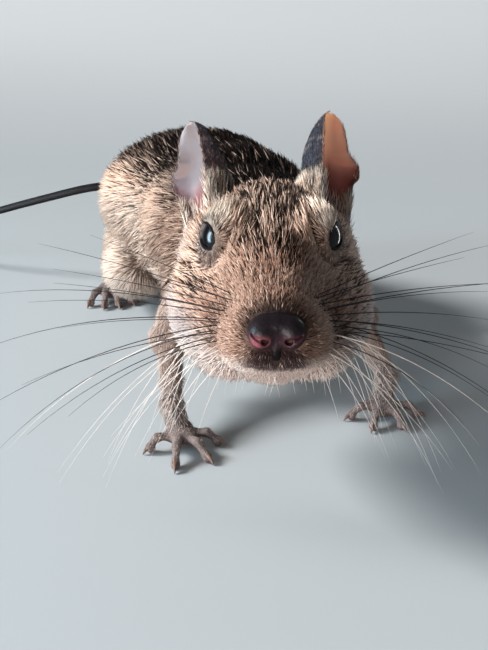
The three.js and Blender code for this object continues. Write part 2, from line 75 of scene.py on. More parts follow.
EYE = np.array([7.1, 25.8, 40.4])


def node_middle(name):
    low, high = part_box(name)
    return (np.array(low) + np.array(high)) / 2


eyes_middle = (node_middle("eye_left") + node_middle("eye_right")) / 2
shift = eyes_middle - MM * np.array([0, EYE[1], EYE[2]])


def place(points):
    """Takes millimetres of the working frame to metres of the model's frame."""
    return np.asarray(points, float) * MM + shift


print("working frame starts at", shift.round(5))

# %% [markdown]
# ## Forms as fields
# A body has no edges, so it is easier to describe with fields than with faces. A field gives the
# distance from any point to a rounded form, below zero inside it. Two fields join with a fillet
# when their smaller value is rounded off, and one is hollowed by another in the same way.

# %% Fields
FAR = 4.0


def egg(centre, radii, turn=0.0):
    """A rounded form with three radii, turned by some degrees on the floor."""
    centre = np.asarray(centre, float)
    radii = np.asarray(radii, float)
    c = math.cos(math.radians(turn))
    s = math.sin(math.radians(turn))
    back = np.array([[c, s, 0], [-s, c, 0], [0, 0, 1]])

    def field(p):
        q = (p - centre) @ back.T / radii
        near = np.linalg.norm(q, axis=1)
        steep = np.linalg.norm(q / radii, axis=1)
        return np.where(steep > TINY, near * (near - 1) / np.maximum(steep, TINY), -radii.min())

    return field


def limb(start, end, start_radius, end_radius):
    """A taper with round ends."""
    start = np.asarray(start, float)
    axis = np.asarray(end, float) - start
    length_squared = axis @ axis

    def field(p):
        q = p - start
        share = np.clip(q @ axis / length_squared, 0, 1)
        away = np.linalg.norm(q - share[:, None] * axis, axis=1)
        return away - (start_radius + (end_radius - start_radius) * share)

    return field


def smooth_min(a, b, softness):
    near = np.maximum(softness - np.abs(a - b), 0) / softness
    return np.minimum(a, b) - near * near * softness / 4


def blend(softness, *fields):
    """Several forms as one, with fillets where they meet."""

    def field(p):
        total = fields[0](p)
        for other in fields[1:]:
            total = smooth_min(total, other(p), softness)
        return total

    return field


def hollow(softness, field, *dips):
    """A form with dips, with rounded edges."""

    def dug(p):
        total = -field(p)
        for dip in dips:
            total = smooth_min(total, dip(p), softness)
        return -total

    return dug


def both_sides(make, centre, *rest):
    centre = np.asarray(centre, float)
    return [make(centre * (side, 1, 1), *rest) for side in SIDES.values()]


def local(field, centre, radius):
    """Only asks a field near its form, and answers with a plain far distance elsewhere."""
    centre = np.asarray(centre, float)

    def near(p):
        away = np.linalg.norm(p - centre, axis=1)
        value = np.maximum(away - radius, 0) + FAR
        close = away < radius
        if close.any():
            value[close] = field(p[close])
        return value

    return near


# %% [markdown]
# ## Lines through the body
# The spine, the tail and each whisker are smooth curves through a few points. A line keeps dense
# samples of its curve, so that a point anywhere can ask for its nearest place on it.

# %% Curves
SAMPLES_AT_ONCE = 20000


def unit(v):
    return v / np.maximum(np.linalg.norm(v, axis=-1, keepdims=True), TINY)


def read(table, at):
    """A value between the pairs of a table."""
    return np.interp(at, *zip(*table))


def smooth_step(value, low, high):
    t = np.clip((np.asarray(value) - low) / (high - low), 0, 1)
    return t * t * (3 - 2 * t)


def catmull_rom(points, per_span=30):
    """Centripetal Catmull-Rom curve through the points, as dense samples."""
    p = np.asarray(points, float)
    p = np.vstack([2 * p[0] - p[1], p, 2 * p[-1] - p[-2]])
    out = []
    t = np.linspace(0, 1, per_span, endpoint=False)[:, None]
    for k in range(1, len(p) - 2):
        gaps = [max(np.linalg.norm(p[k + j] - p[k + j - 1]) ** 0.5, 1e-4) for j in (0, 1, 2)]
        before, here, after = gaps
        x0, x1, x2, x3 = p[k - 1 : k + 3]
        t1 = ((x1 - x0) / before - (x2 - x0) / (before + here) + (x2 - x1) / here) * here
        t2 = ((x2 - x1) / here - (x3 - x1) / (here + after) + (x3 - x2) / after) * here
        c2 = -3 * x1 + 3 * x2 - 2 * t1 - t2
        c3 = 2 * x1 - 2 * x2 + t1 + t2
        out.append(x1 + t1 * t + c2 * t**2 + c3 * t**3)
    out.append(p[-2][None])
    return np.vstack(out)


class Line:
    def __init__(self, points):
        self.points = catmull_rom(points)
        steps = np.linalg.norm(np.diff(self.points, axis=0), axis=1)
        self.share = np.concatenate([[0], np.cumsum(steps)])
        self.length = self.share[-1]
        self.share /= self.length
        tangent = np.gradient(self.points, self.share, axis=0)
        self.tangent = tangent / np.linalg.norm(tangent, axis=1)[:, None]

    def nearest(self, p):
        """The number of the sample nearest to each point."""
        best = np.empty(len(p), int)
        for k in range(0, len(p), SAMPLES_AT_ONCE):
            part = p[k : k + SAMPLES_AT_ONCE]
            square = (part**2).sum(1)[:, None] - 2 * part @ self.points.T
            best[k : k + SAMPLES_AT_ONCE] = (square + (self.points**2).sum(1)).argmin(1)
        return best


def frame_at(along):
    """Side (level) and up for a direction, or for an array of them."""
    side = unit(np.cross((0.0, 0.0, 1.0), along))
    return side, np.cross(along, side)


# %% [markdown]
# ## The trunk
# Head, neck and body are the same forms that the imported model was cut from: an egg for the brain
# case, a taper for the muzzle, eggs for the cheeks and lips, and a wide low one over the hips. The
# hips are turned, because the animal swings its tail to one side.

# %% Spine
HIP_TURN = 12
HIP_CENTRE = np.array([-18.0, 118.0])
HIP_WIDTH = 57
BACK_HEIGHT = 52
HEAD_HALF = 18


def at_hips(across, along, height):
    c = math.cos(math.radians(HIP_TURN))
    s = math.sin(math.radians(HIP_TURN))
    x, y = HIP_CENTRE
    return np.array([x + across * c - along * s, y + across * s + along * c, height])


spine = Line(
    [
        (0, 7.5, 31.5),
        (0, 20, 34),
        (0, 34, 34.5),
        (-0.5, 46, 33),
        (-2.5, 60, 29),
        (-7, 80, 27),
        (-13, 100, 27),
        (-18, 118, 27),
        (-21.5, 134, 26),
    ]
)
print("spine", round(spine.length, 1), "mm long")

# %% Head, neck and body
skull = blend(
    5,
    egg((0, 34, 36.3), (11.6, 17, 12.2)),
    limb((0, 7.4, 32), (0, 24, 35), 6.2, 9.6),
    *both_sides(egg, (HEAD_HALF - 8.8, 29, 28), (8.6, 13, 9.6)),
    *both_sides(egg, (HEAD_HALF - 9.6, 40, 33), (8.4, 12, 9.4)),
)
orbits = both_sides(egg, (14.5, 19, 41), (5, 6, 5.5))
lips = blend(2, *both_sides(egg, (3.6, 7.4, 30.2), (4.5, 6.4, 4.3)))
chin = limb((0, 8.5, 26.6), (0, 26, 25.5), 3.2, 7)
brows = blend(2, *both_sides(egg, (6.2, 26.5, 43.6), (2.6, 5, 2.2)))
jowls = blend(2, *both_sides(egg, (7, 17.5, 26.6), (6.3, 9.5, 5.8)))
throat = egg((0, 15.5, 26.2), (10.5, 8, 5.4))
head = hollow(4, blend(3, blend(6, skull, blend(2, jowls, throat)), lips, chin, brows), *orbits)
neck = limb((0, 42, 32.5), (-2.5, 62, 29), 13.5, 17.5)
belly = blend(
    8,
    egg((-3, 66, 27), (20, 20, 18.5)),
    egg((-7, 88, 28.8), (24, 30, 21.4), HIP_TURN),
    egg(at_hips(0, -8, 23.5), (22, 28, 17.5), HIP_TURN),
    egg(at_hips(0, -5, 31.5), (HIP_WIDTH / 2, 27, BACK_HEIGHT - 31.5), HIP_TURN),
    egg(at_hips(0, 17, 27), (22, 19, 19), HIP_TURN),
)

# %% [markdown]
# ## Legs and feet
# A leg is a few tapers, a hand or a hind foot is a pad with digits, and each digit is two tapers
# that bend at the knuckle. The digits end a little above the floor, on their pads. Twenty digits
# could be shaped one by one, but they follow one rule, so a function makes each from its root, its
# tip, its width and the length of its claw.

# %% One digit
FORE_WIDTH = 2.0
HIND_WIDTH = 2.6
HIND_STEP = {"left": -6, "right": 0}
ARMS = {
    "left": ((10, 66, 22), (20.5, 62, 14.5), (24.8, 46.5, 7)),
    "right": ((-15, 61, 22), (-19.6, 50, 14), (-18.3, 34.6, 6.6)),
}
HANDS = {
    "left": {
        "wrist": (24.7, 45.5, 6.4),
        "palm": (23.6, 43, 2.1),
        "tips": [(15.4, 39, 0), (20, 33.8, 0), (26.8, 34.2, 0), (32, 40.4, 0)],
        "thumb": (20, 45.6, 0),
    },
    "right": {
        "wrist": (-18.1, 33.6, 6),
        "palm": (-16.6, 31, 2.1),
        "tips": [(-22.8, 25.9, 0), (-16.4, 19.4, 0), (-9.8, 22.2, 0), (-7.6, 29.2, 0)],
        "thumb": (-13, 34, 0),
    },
}


def flat_unit(v):
    """The direction of a line over the floor."""
    v = np.array([v[0], v[1], 0.0])
    return v / np.linalg.norm(v)


def digit(root, tip, width, claw):
    """The field of one digit, and where its claw starts, bends and ends."""
    root = np.asarray(root, float)
    tip = np.asarray(tip, float)
    way = flat_unit(tip - root)
    knuckle = root + 0.45 * (tip - root)
    knuckle[2] = root[2] + 0.5
    joint = root + 0.74 * (tip - root)
    joint[2] = 0.62 * width
    end = tip - way * claw * 0.96
    end[2] = 0.4 * width
    half = width / 2
    field = blend(
        0.6,
        limb(root, knuckle, half * 0.98, half * 0.94),
        limb(knuckle, joint, half * 0.94, half * 0.78),
        limb(joint, end, half * 0.78, half * 0.8),
        egg(end + (0, 0, -0.02 * width), (half * 0.92, half * 0.92, half * 0.72)),
    )
    nail = (end + way * half * 0.1 + (0, 0, half * 0.5), end + way * claw * 0.62, tip)
    return field, nail


# %% Arms and hands
Claw = namedtuple("Claw", "start bend end radius foot")
claws = []
hand_fields = {}
arm_fields = {}
for side in SIDES:
    shoulder, elbow, wrist = ARMS[side]
    arm_fields[side] = blend(3, limb(shoulder, elbow, 7.5, 4.2), limb(elbow, wrist, 3.6, 2.1))
    hand = HANDS[side]
    palm = np.array(hand["palm"], float)
    ahead = flat_unit(np.mean(hand["tips"], axis=0) - palm)
    pieces = [limb(hand["wrist"], palm, 2.1, 2.3), egg(palm + 1.4 * ahead, (2.9, 2.6, 1.8))]
    for tip in [*hand["tips"], hand["thumb"]]:
        is_thumb = tip is hand["thumb"]
        root = palm + (0 if is_thumb else 2.2) * flat_unit(np.array(tip) - palm)
        root[2] = 2.0
        width = FORE_WIDTH * (0.8 if is_thumb else 0.92)
        field, nail = digit(root, tip, width, 0.9 if is_thumb else 1.9)
        pieces.append(field)
        claws.append(Claw(*nail, 0.5, f"forepaw_{side}"))
    hand_fields[side] = local(blend(0.9, *pieces), palm, 15)

# %% Legs and hind feet
leg_fields = {}
foot_fields = {}
for side, sign in SIDES.items():
    step = HIND_STEP[side]
    leg_fields[side] = blend(
        5,
        egg(at_hips(sign * 17.5, -1, 18.5), (10.4, 19, 13.5), HIP_TURN),
        limb(at_hips(sign * 20.5, -16, 14), at_hips(sign * 22.3, 28 + step, 6.2), 7, 2.7),
    )
    heel = at_hips(sign * 22.5, 29.5 + step, 2.1)
    ball = at_hips(sign * 26, 9 + step, 2)
    pieces = [limb(heel, ball, 2.7, 2.6), egg(ball, (3.9, 3.6, 2.4), HIP_TURN)]
    ends = [
        (
            at_hips(sign * 26 + across * 0.36, 9 + step - 1.8, 2.6),
            at_hips(sign * 26 + across, 9 + step - length, 0),
        )
        for across, length in ((-7, 11.5), (-2.4, 14.5), (2.2, 14.5), (6.6, 12))
    ]
    ends.append((at_hips(sign * 24, 12 + step, 2), at_hips(sign * 18.8, 6 + step, 0)))
    for root, tip in ends:
        field, nail = digit(root, tip, HIND_WIDTH * 0.9, 2.6)
        pieces.append(field)
        claws.append(Claw(*nail, 0.62, f"hindfoot_{side}"))
    foot_fields[side] = local(blend(1.1, *pieces), (heel + ball) / 2, 32)
print(len(claws), "digits")

# %% [markdown]
# ## One skin
# The skin could be a mesh per part, but then seams would show where they meet. So head, neck, body
# and legs make one field, with a fillet at every joint, and one surface is drawn where it is zero.
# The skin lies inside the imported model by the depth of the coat: a hair's breadth on the nose and
# almost four millimetres on the flanks. Near a joint each part has a share of every point, so that
# the depth, and later the hair, change gradually.

# %% The share of each part, and the depth of the coat
PARTS = ("head", "neck", "belly", "arm_left", "arm_right", "leg_left", "leg_right")
TRUNK, ARM, LEG = slice(0, 3), slice(3, 5), slice(5, 7)
part_fields = (head, neck, belly, *arm_fields.values(), *leg_fields.values())
JOINS = (6, 6, 3, 3, 4, 4)
TRUNK_DEPTH = ((-5, 0.2), (4, 0.3), (10, 0.6), (20, 1.0), (32, 1.6), (48, 2.6), (70, 3.6), (150, 3.8))
ARM_DEPTH = ((6, 0.35), (14, 1.2), (22, 2.4))
LEG_DEPTH = ((6, 0.3), (12, 1.2), (20, 2.8), (30, 3.4))


def part_values(p):
    return np.stack([field(p) for field in part_fields], axis=1)


def part_shares(values):
    share = np.exp(-np.clip(values - values.min(1)[:, None], 0, 30) / 1.2)
    return share / share.sum(1)[:, None]


def by_part(share, on_trunk, on_arm, on_leg):
    """Mixes three values by the shares of trunk, arms and legs."""
    mixed = share[:, TRUNK].sum(1) * on_trunk
    return mixed + share[:, ARM].sum(1) * on_arm + share[:, LEG].sum(1) * on_leg


def coat_depth(p, share):
    under = np.clip((24 - p[:, 2]) / 14, 0, 1) * np.clip((p[:, 1] - 40) / 20, 0, 1)
    on_trunk = read(TRUNK_DEPTH, p[:, 1]) * (1 - 0.45 * under)
    return by_part(share, on_trunk, read(ARM_DEPTH, p[:, 2]), read(LEG_DEPTH, p[:, 2]))


print("parts:", ", ".join(PARTS))

# %% [markdown]
# The lids' opening is measured on the eyeball, as angles from the gaze. Inside its rim the skin is
# cut away, and round it the skin swells a little over the eyeball, so that the eye sits behind lids.

# %% The lids' opening
EYE_RADIUS = 4.1
GAZE = np.array([0.84, -0.52, 0.16])
OPENING_WIDE = math.radians(31)
OPENING_TALL = math.radians(25)
OPENING_TILT = math.radians(24)
LID_THICKNESS = 0.5


def axes_of(gaze):
    """Level side and up of a gaze."""
    side = unit(np.cross((0, 0, 1.0), gaze))
    return side, np.cross(gaze, side)


def past_opening(p, sign):
    """Millimetres past the rim of one eye's opening, below zero inside it, and from its centre."""
    away = p - EYE * (sign, 1, 1)
    gaze = unit(GAZE * (sign, 1, 1))
    side, up = axes_of(gaze)
    across, high = away @ side, away @ up
    flat = np.maximum(np.hypot(across, high), TINY)
    angle = np.arctan2(flat, away @ gaze) / flat
    across, high = angle * across, angle * high
    c, s = math.cos(OPENING_TILT), sign * math.sin(OPENING_TILT)
    across, high = c * across + s * high, c * high - s * across
    share = np.hypot(across / OPENING_WIDE, high / OPENING_TALL)
    return (share - 1) * EYE_RADIUS * (OPENING_WIDE + OPENING_TALL) / 2, np.linalg.norm(away, axis=1)


print("eyeball", 2 * EYE_RADIUS, "mm wide")

# %% The whole field
ABOVE_FLOOR = 0.02
mouth_dips = [
    limb(a, b, 0.42, 0.42)
    for sign in SIDES.values()
    for a, b in (
        ((0, 1.3, 27.7), (sign * 3, 2.2, 27.2)),
        ((sign * 3, 2.2, 27.2), (sign * 5.6, 4.8, 27)),
    )
]


def skin_field(p):
    values = part_values(p)
    total = values[:, 0]
    for k, softness in enumerate(JOINS, 1):
        total = smooth_min(total, values[:, k], softness)
    total = total + coat_depth(p, part_shares(values))
    at_mouth = p[:, 1] < 16
    if at_mouth.any():
        cut = -total[at_mouth]
        for dip in mouth_dips:
            cut = smooth_min(cut, dip(p[at_mouth]), 0.7)
        total[at_mouth] = -cut
    for sign in SIDES.values():
        close = np.linalg.norm(p - EYE * (sign, 1, 1), axis=1) < EYE_RADIUS + 3
        if close.any():
            past, distance = past_opening(p[close], sign)
            lids = smooth_min(total[close], distance - EYE_RADIUS - LID_THICKNESS, 0.9)
            total[close] = np.maximum(lids, 0.1 - past)
    return np.maximum(total, ABOVE_FLOOR - p[:, 2])


def foot_skin_field(leg, foot, depth, top):
    """A bare foot, joined to its leg and closed off inside the leg's fur."""

    def field(p):
        upper = leg(p) + read(depth, p[:, 2])
        total = smooth_min(upper, foot(p) + 0.12, 1.4)
        return np.maximum(total, np.maximum(ABOVE_FLOOR - p[:, 2], p[:, 2] - top))

    return field


# %% [markdown]
# A surface net turns the field into a mesh: every cell of a fine grid that the surface crosses
# gets one vertex, and every grid edge that it crosses gets one four-sided face. Only cells close
# to the surface are worked out, and two last steps move each vertex onto the surface exactly.

# %% Surface net
BLOCK = 8
BLOCKS_AT_ONCE = 200
BOX_CORNERS = np.stack(np.meshgrid(*[[0, 1]] * 3, indexing="ij"), -1).reshape(-1, 3)
AXES = np.eye(3, dtype=int)


def field_on_grid(field, low, counts, cell):
    """Values on a grid, worked out only in the blocks that the surface may cross."""
    middles = [low[k] + cell * (np.arange(counts[k] // BLOCK) + 0.5) * BLOCK for k in range(3)]
    coarse = np.stack(np.meshgrid(*middles, indexing="ij"), -1)
    far = field(coarse.reshape(-1, 3)).reshape(coarse.shape[:3])
    value = np.where(far < 0, -9.0, 9.0)
    for axis in range(3):
        value = value.repeat(BLOCK, axis)
    blocks = np.argwhere(np.abs(far) < cell * BLOCK * 1.3)
    inner = np.stack(np.meshgrid(*[np.arange(BLOCK)] * 3, indexing="ij"), -1).reshape(-1, 3)
    for k in range(0, len(blocks), BLOCKS_AT_ONCE):
        spots = (blocks[k : k + BLOCKS_AT_ONCE, None] * BLOCK + inner).reshape(-1, 3)
        value[tuple(spots.T)] = field(low + cell * spots)
    return value


def net_points(value, cells):
    """The middle of the places where the surface crosses the edges of each cell."""
    total = np.zeros((len(cells), 3))
    hits = np.zeros((len(cells), 1))
    for start in BOX_CORNERS:
        for axis in range(3):
            if start[axis]:
                continue
            end = start + AXES[axis]
            a = value[tuple((cells + start).T)]
            b = value[tuple((cells + end).T)]
            crossed = ((a < 0) != (b < 0))[:, None]
            spot = start + (a / np.where(a == b, 1, a - b))[:, None] * (end - start)
            total += crossed * spot
            hits += crossed
    return total / hits


def net_faces(inside, number, axis):
    """A face for each edge along one axis that the surface crosses."""
    edges = np.argwhere(np.diff(inside, axis=axis))
    edges = edges[(edges > 0).sum(1) + (edges[:, axis] == 0) == 3]
    edges = edges[(edges < number.shape).all(1)]
    u = AXES[(axis + 1) % 3]
    v = AXES[(axis + 2) % 3]
    around = [edges - u - v, edges - v, edges, edges - u]
    faces = np.stack([number[tuple(c.T)] for c in around], 1)
    outwards = inside[tuple(edges.T)]
    faces[~outwards] = faces[~outwards][:, ::-1]
    return faces


def surface_net(field, low, high, cell):
    low = np.asarray(low, float)
    counts = (np.ceil((np.asarray(high) - low) / (cell * BLOCK)).astype(int) + 1) * BLOCK
    value = field_on_grid(field, low, counts, cell)
    inside = value < 0
    shape = counts - 1
    filled = sum(
        inside[a : a + shape[0], b : b + shape[1], c : c + shape[2]].astype(np.int8)
        for a, b, c in BOX_CORNERS
    )
    cells = np.argwhere((filled > 0) & (filled < 8))
    number = np.full(shape, -1)
    number[tuple(cells.T)] = np.arange(len(cells))
    points = low + cell * (cells + net_points(value, cells))
    return points, np.vstack([net_faces(inside, number, axis) for axis in range(3)])


def settle(field, points, rounds=2, step=0.04):
    """Moves points onto the surface along its slope, and gives the slope there."""
    for _ in range(rounds):
        here = field(points)
        slope = np.stack([(field(points + step * e) - here) / step for e in np.eye(3)], 1)
        square = np.maximum((slope**2).sum(1), 0.05)
        move = np.clip(here / square, -0.3, 0.3)[:, None] * slope
        points = points - move
    return points, unit(slope)


# %% [markdown]
# The body's skin takes cells of about half a millimetre. The bare feet need finer ones, so each is
# netted on its own and reaches a little way up into the fur of its leg.

# %% The skin and the feet
CELL = 0.56
SKIN_BOX = ((-54, -1, -1.5), (36, 157, 54))

skin_points, skin_faces = surface_net(skin_field, *SKIN_BOX, CELL)
skin_points, skin_slope = settle(skin_field, skin_points)
print("skin", len(skin_points), "vertices", len(skin_faces), "faces")

feet = {}
for side, sign in SIDES.items():
    palm = np.array(HANDS[side]["palm"], float)
    ball = at_hips(sign * 24.3, 17 + HIND_STEP[side], 2)
    for name, leg, foot, depth, top, middle, reach, cell in (
        ("forepaw", arm_fields, hand_fields, ARM_DEPTH, 9.0, palm, 13, 0.3),
        ("hindfoot", leg_fields, foot_fields, LEG_DEPTH, 8.0, ball, 26, 0.36),
    ):
        field = foot_skin_field(leg[side], foot[side], depth, top)
        low = (middle[0] - reach, middle[1] - reach, -1)
        points, faces = surface_net(field, low, (middle[0] + reach, middle[1] + reach, 10), cell)
        points, slope = settle(field, points)
        feet[f"{name}_{side}"] = (points, faces, slope)
        print(name, side, len(faces), "faces")

# %% [markdown]
# A piece's mesh is made from those points and faces, and it can keep values for each of its
# vertices, such as the length of the hair there. Materials and node trees read them by name.

# %% Mesh objects and the values they keep
KINDS = {"FLOAT": "value", "FLOAT_VECTOR": "vector", "FLOAT_COLOR": "color"}


def make_object(name, points, faces):
    """A smooth mesh object from millimetres of the working frame."""
    mesh = bpy.data.meshes.new(name)
    mesh.from_pydata(place(points).tolist(), [], [[int(k) for k in face] for face in faces])
    mesh.validate()
    mesh.update()
    mesh.shade_smooth()
    made = bpy.data.objects.new(name, mesh)
    bpy.context.scene.collection.objects.link(made)
    return made


def store(piece, name, kind, values):
    """Keeps a value for each vertex of a piece, in place of an older one of the same name."""
    own = piece.data.attributes
    place_for_it = own.get(name) or own.new(name, kind, "POINT")
    place_for_it.data.foreach_set(KINDS[kind], np.ascontiguousarray(values, np.float32).ravel())


# %% [markdown]
# ## Which way the hair lies
# Hair lies away from the nose: it fans out over the face, runs back along the neck and body, sags a
# little on the flanks, and runs down each leg to the toes. Each vertex of the skin keeps that
# direction, the length and width of its tufts, how dense they stand, and a place on a flat map of
# the skin, which is the distance along the body by the way round it.

# %% Lines of the limbs, and the flat map
ARM_LINES = {side: Line([*ARMS[side], HANDS[side]["palm"]]) for side in SIDES}
LEG_LINES = {
    side: Line(
        [
            at_hips(sign * 15, -14, 34),
            at_hips(sign * 18.5, 0, 22),
            at_hips(sign * 20.5, 12, 13),
            at_hips(sign * 22.3, 28 + HIND_STEP[side], 5),
        ]
    )
    for side, sign in SIDES.items()
}
TRUNK_GIRTH = 150
ARM_GIRTH = 38
LEG_GIRTH = 50
MAP_SCALE = 1 / 250
MAP_CORNERS = {
    "trunk": (0.02, 0.02),
    "arm_left": (0.7, 0.02),
    "arm_right": (0.7, 0.18),
    "leg_left": (0.7, 0.34),
    "leg_right": (0.7, 0.56),
    "forepaw_left": (0.05, 0.72),
    "forepaw_right": (0.2, 0.72),
    "hindfoot_left": (0.35, 0.76),
    "hindfoot_right": (0.55, 0.76),
    "tail": (0.05, 0.93),
    "ear_left": (0.78, 0.78),
    "ear_right": (0.88, 0.78),
}


def place_on_map(line, p, corner, girth):
    """Distance along a line and way round it, as a place on the flat map."""
    near = line.nearest(p)
    side, up = frame_at(line.tangent[near])
    away = p - line.points[near]
    turn = np.arctan2((away * side).sum(1), (away * up).sum(1)) / (2 * np.pi) + 0.5
    u = corner[0] + line.share[near] * line.length * MAP_SCALE
    return np.stack([u, corner[1] + turn * girth * MAP_SCALE, 0 * u], 1)


print("arms", [round(line.length, 1) for line in ARM_LINES.values()], "mm long")

# %% Direction, length and map place of the hair
FAN_CENTRE = (0, -5, 33)
TRUNK_HAIR = (
    (-2, 0.8),
    (3, 1.1),
    (9, 1.7),
    (18, 3.2),
    (28, 4.6),
    (38, 5.4),
    (48, 6.2),
    (64, 7.6),
    (90, 8.8),
    (150, 8.8),
)
ARM_HAIR = ((6, 0.8), (10, 1.3), (20, 4.5))
LEG_HAIR = ((5, 1.2), (10, 2.8), (20, 6.5))
JAW_HAIR = 1.6


def lowness(p):
    """How low a point of the head lies. The line of the jaw rises towards the nose."""
    return -0.25 * p[:, 1] - p[:, 2]


def coat_facts(p, slope):
    share = part_shares(part_values(p))
    fan = unit(p - FAN_CENTRE)
    along = spine.tangent[spine.nearest(p)]
    on_head = 1 - smooth_step(p[:, 1], 30, 48)
    flank = smooth_step(p[:, 1], 44, 70) * (1 - np.abs(slope[:, 2]))
    rump = smooth_step(p[:, 1], 128, 150)
    lie = unit(along * (1.05 - on_head)[:, None] + fan * on_head[:, None])
    lie[:, 2] -= 0.45 * flank + 0.7 * rump
    lie *= share[:, TRUNK].sum(1)[:, None]
    place_flat = place_on_map(spine, p, MAP_CORNERS["trunk"], TRUNK_GIRTH)
    biggest = share.argmax(1)
    limbs = [(line, ARM_GIRTH) for line in ARM_LINES.values()]
    limbs += [(line, LEG_GIRTH) for line in LEG_LINES.values()]
    for k, (line, girth) in enumerate(limbs, ARM.start):
        lie += share[:, k, None] * line.tangent[line.nearest(p)]
        mine = biggest == k
        place_flat[mine] = place_on_map(line, p[mine], MAP_CORNERS[PARTS[k]], girth)
    at_jaw = smooth_step(lowness(p), -29.5, -26) * (1 - smooth_step(p[:, 1], 24, 34))
    lie[:, 2] -= 1.1 * at_jaw
    on_trunk = read(TRUNK_HAIR, p[:, 1]) + JAW_HAIR * at_jaw * smooth_step(p[:, 1], 4, 9)
    long = by_part(share, on_trunk, read(ARM_HAIR, p[:, 2]), read(LEG_HAIR, p[:, 2]))
    return unit(lie), long, place_flat, share


lie, long, place_flat, shares = coat_facts(skin_points, skin_slope)
print("hairs from", long.min().round(2), "to", long.max().round(2), "mm")

# %% [markdown]
# ## Markings
# The coat is agouti: each hair is dark, then ochre, then dark again, so it looks streaky close up
# and grey-brown from afar. The back is darkest, the flanks fade to a pale buff, and the belly and
# throat are cream, with a pinker chin. The chin is painted paler than its own pink, as painted light
# on a part that faces down into shade. The muzzle is warmer, the cheeks are greyer, and a pale
# streak runs from over each eye to the ear.
#
# The markings could be painted on an image, but then every tuft would need its place on it. Here
# they are worked out from places on the body and kept on the skin, where the tufts read them too.
# They are laid on like paint: a first colour, then one layer over another, each with its own cover
# from 0 to 1.

# %% Colours of the coat


def paint(red, green, blue):
    """A colour as it looks on a screen, 0 to 255, as the linear values that light needs."""
    c = np.array([red, green, blue]) / 255
    return np.where(c <= 0.04045, c / 12.92, ((c + 0.055) / 1.055) ** 2.4)


BUFF = paint(218, 192, 174)
OCHRE = paint(152, 114, 97)
CREAM = paint(244, 234, 224)
DARK = paint(92, 68, 54)
BLACK_BROWN = paint(38, 30, 28)
SHOULDER_BROWN = paint(136, 110, 96)
CHIN_PINK_AND_PAINTED_LIGHT = paint(255, 228, 216)
BELLY_PALE = paint(222, 206, 194)
FLANK_BUFF = paint(198, 182, 170)
ARM_BUFF = paint(192, 174, 164)
LEG_BUFF = paint(204, 188, 176)
CHEEK_GREY = paint(172, 160, 158)
BROW_PALE = paint(250, 238, 224)
NOSE_SHADE = paint(40, 30, 30)
LIP_DARK = paint(66, 44, 48)
LID_DARK = paint(60, 46, 42)


def towards(colour, target, amount):
    return colour + np.clip(amount, 0, 1)[:, None] * (target - colour)


def overlay(colour, *layers):
    """Lays one colour after another over the first, each with its cover at every vertex."""
    for target, cover in layers:
        colour = towards(colour, target, cover)
    return colour


def plain(value, count):
    """The same colour or direction for every vertex."""
    return np.repeat(np.asarray(value)[None], count, 0)


def opaque(colour):
    return np.column_stack([colour, np.ones(len(colour))])


# %% Rows of whiskers, which also darken the hair at their roots
WhiskerRow = namedtuple("WhiskerRow", "height front lift back reach hang spacing count dark")
WHISKER_ROWS = [
    WhiskerRow(*row)
    for row in (
        (35.2, 9.0, 0.36, 0.62, 36, 0.10, 2.2, 2, 1.0),
        (33.9, 8.0, 0.26, 0.42, 44, 0.14, 2.0, 3, 1.0),
        (32.6, 7.2, 0.12, 0.26, 50, 0.2, 2.0, 3, 1.0),
        (31.3, 6.6, -0.04, 0.16, 54, 0.24, 1.8, 3, 0.9),
        (30.0, 6.0, -0.22, 0.08, 48, 0.32, 1.8, 4, 0.6),
        (28.8, 5.4, -0.5, 0.02, 38, 0.38, 1.7, 5, 0.15),
        (27.6, 6.0, -0.9, 0.0, 27, 0.36, 1.7, 6, 0.0),
        (25.6, 8.0, -1.7, 0.0, 17, 0.3, 1.7, 6, 0.0),
        (25.4, 3.5, -3.0, -0.3, 6, 0.2, 0.9, 7, 0.0),
    )
]
ROW_SLOPE = 0.15
ROWS_WITH_DARK_ROOTS = WHISKER_ROWS[:6]
print(2 * sum(row.count for row in WHISKER_ROWS), "whiskers")

# %% Where tufts are dark all over


def cheek_share(p, slope):
    side = smooth_step(1 - np.abs(slope[:, 2]), 0.25, 0.7) * smooth_step(np.abs(p[:, 0]), 7.5, 11.5)
    return side * (1 - smooth_step(p[:, 1], 34, 46))


def brow_share(p):
    """The pale streak that runs from over the eye to the ear."""
    start, end = np.array([8.4, 24, 43.4]), np.array([10.0, 38, 47.0])
    q = np.column_stack([np.abs(p[:, 0]), p[:, 1], p[:, 2]]) - start
    t = np.clip(q @ (end - start) / ((end - start) ** 2).sum(), 0, 1)
    return 1 - smooth_step(np.linalg.norm(q - t[:, None] * (end - start), axis=1), 1.4, 3.0)


DUSK_ALONG = ((0, 0.34), (6, 0.3), (12, 0.3), (20, 0.29), (30, 0.27), (46, 0.22))
LEAST_DUSK = 0.06


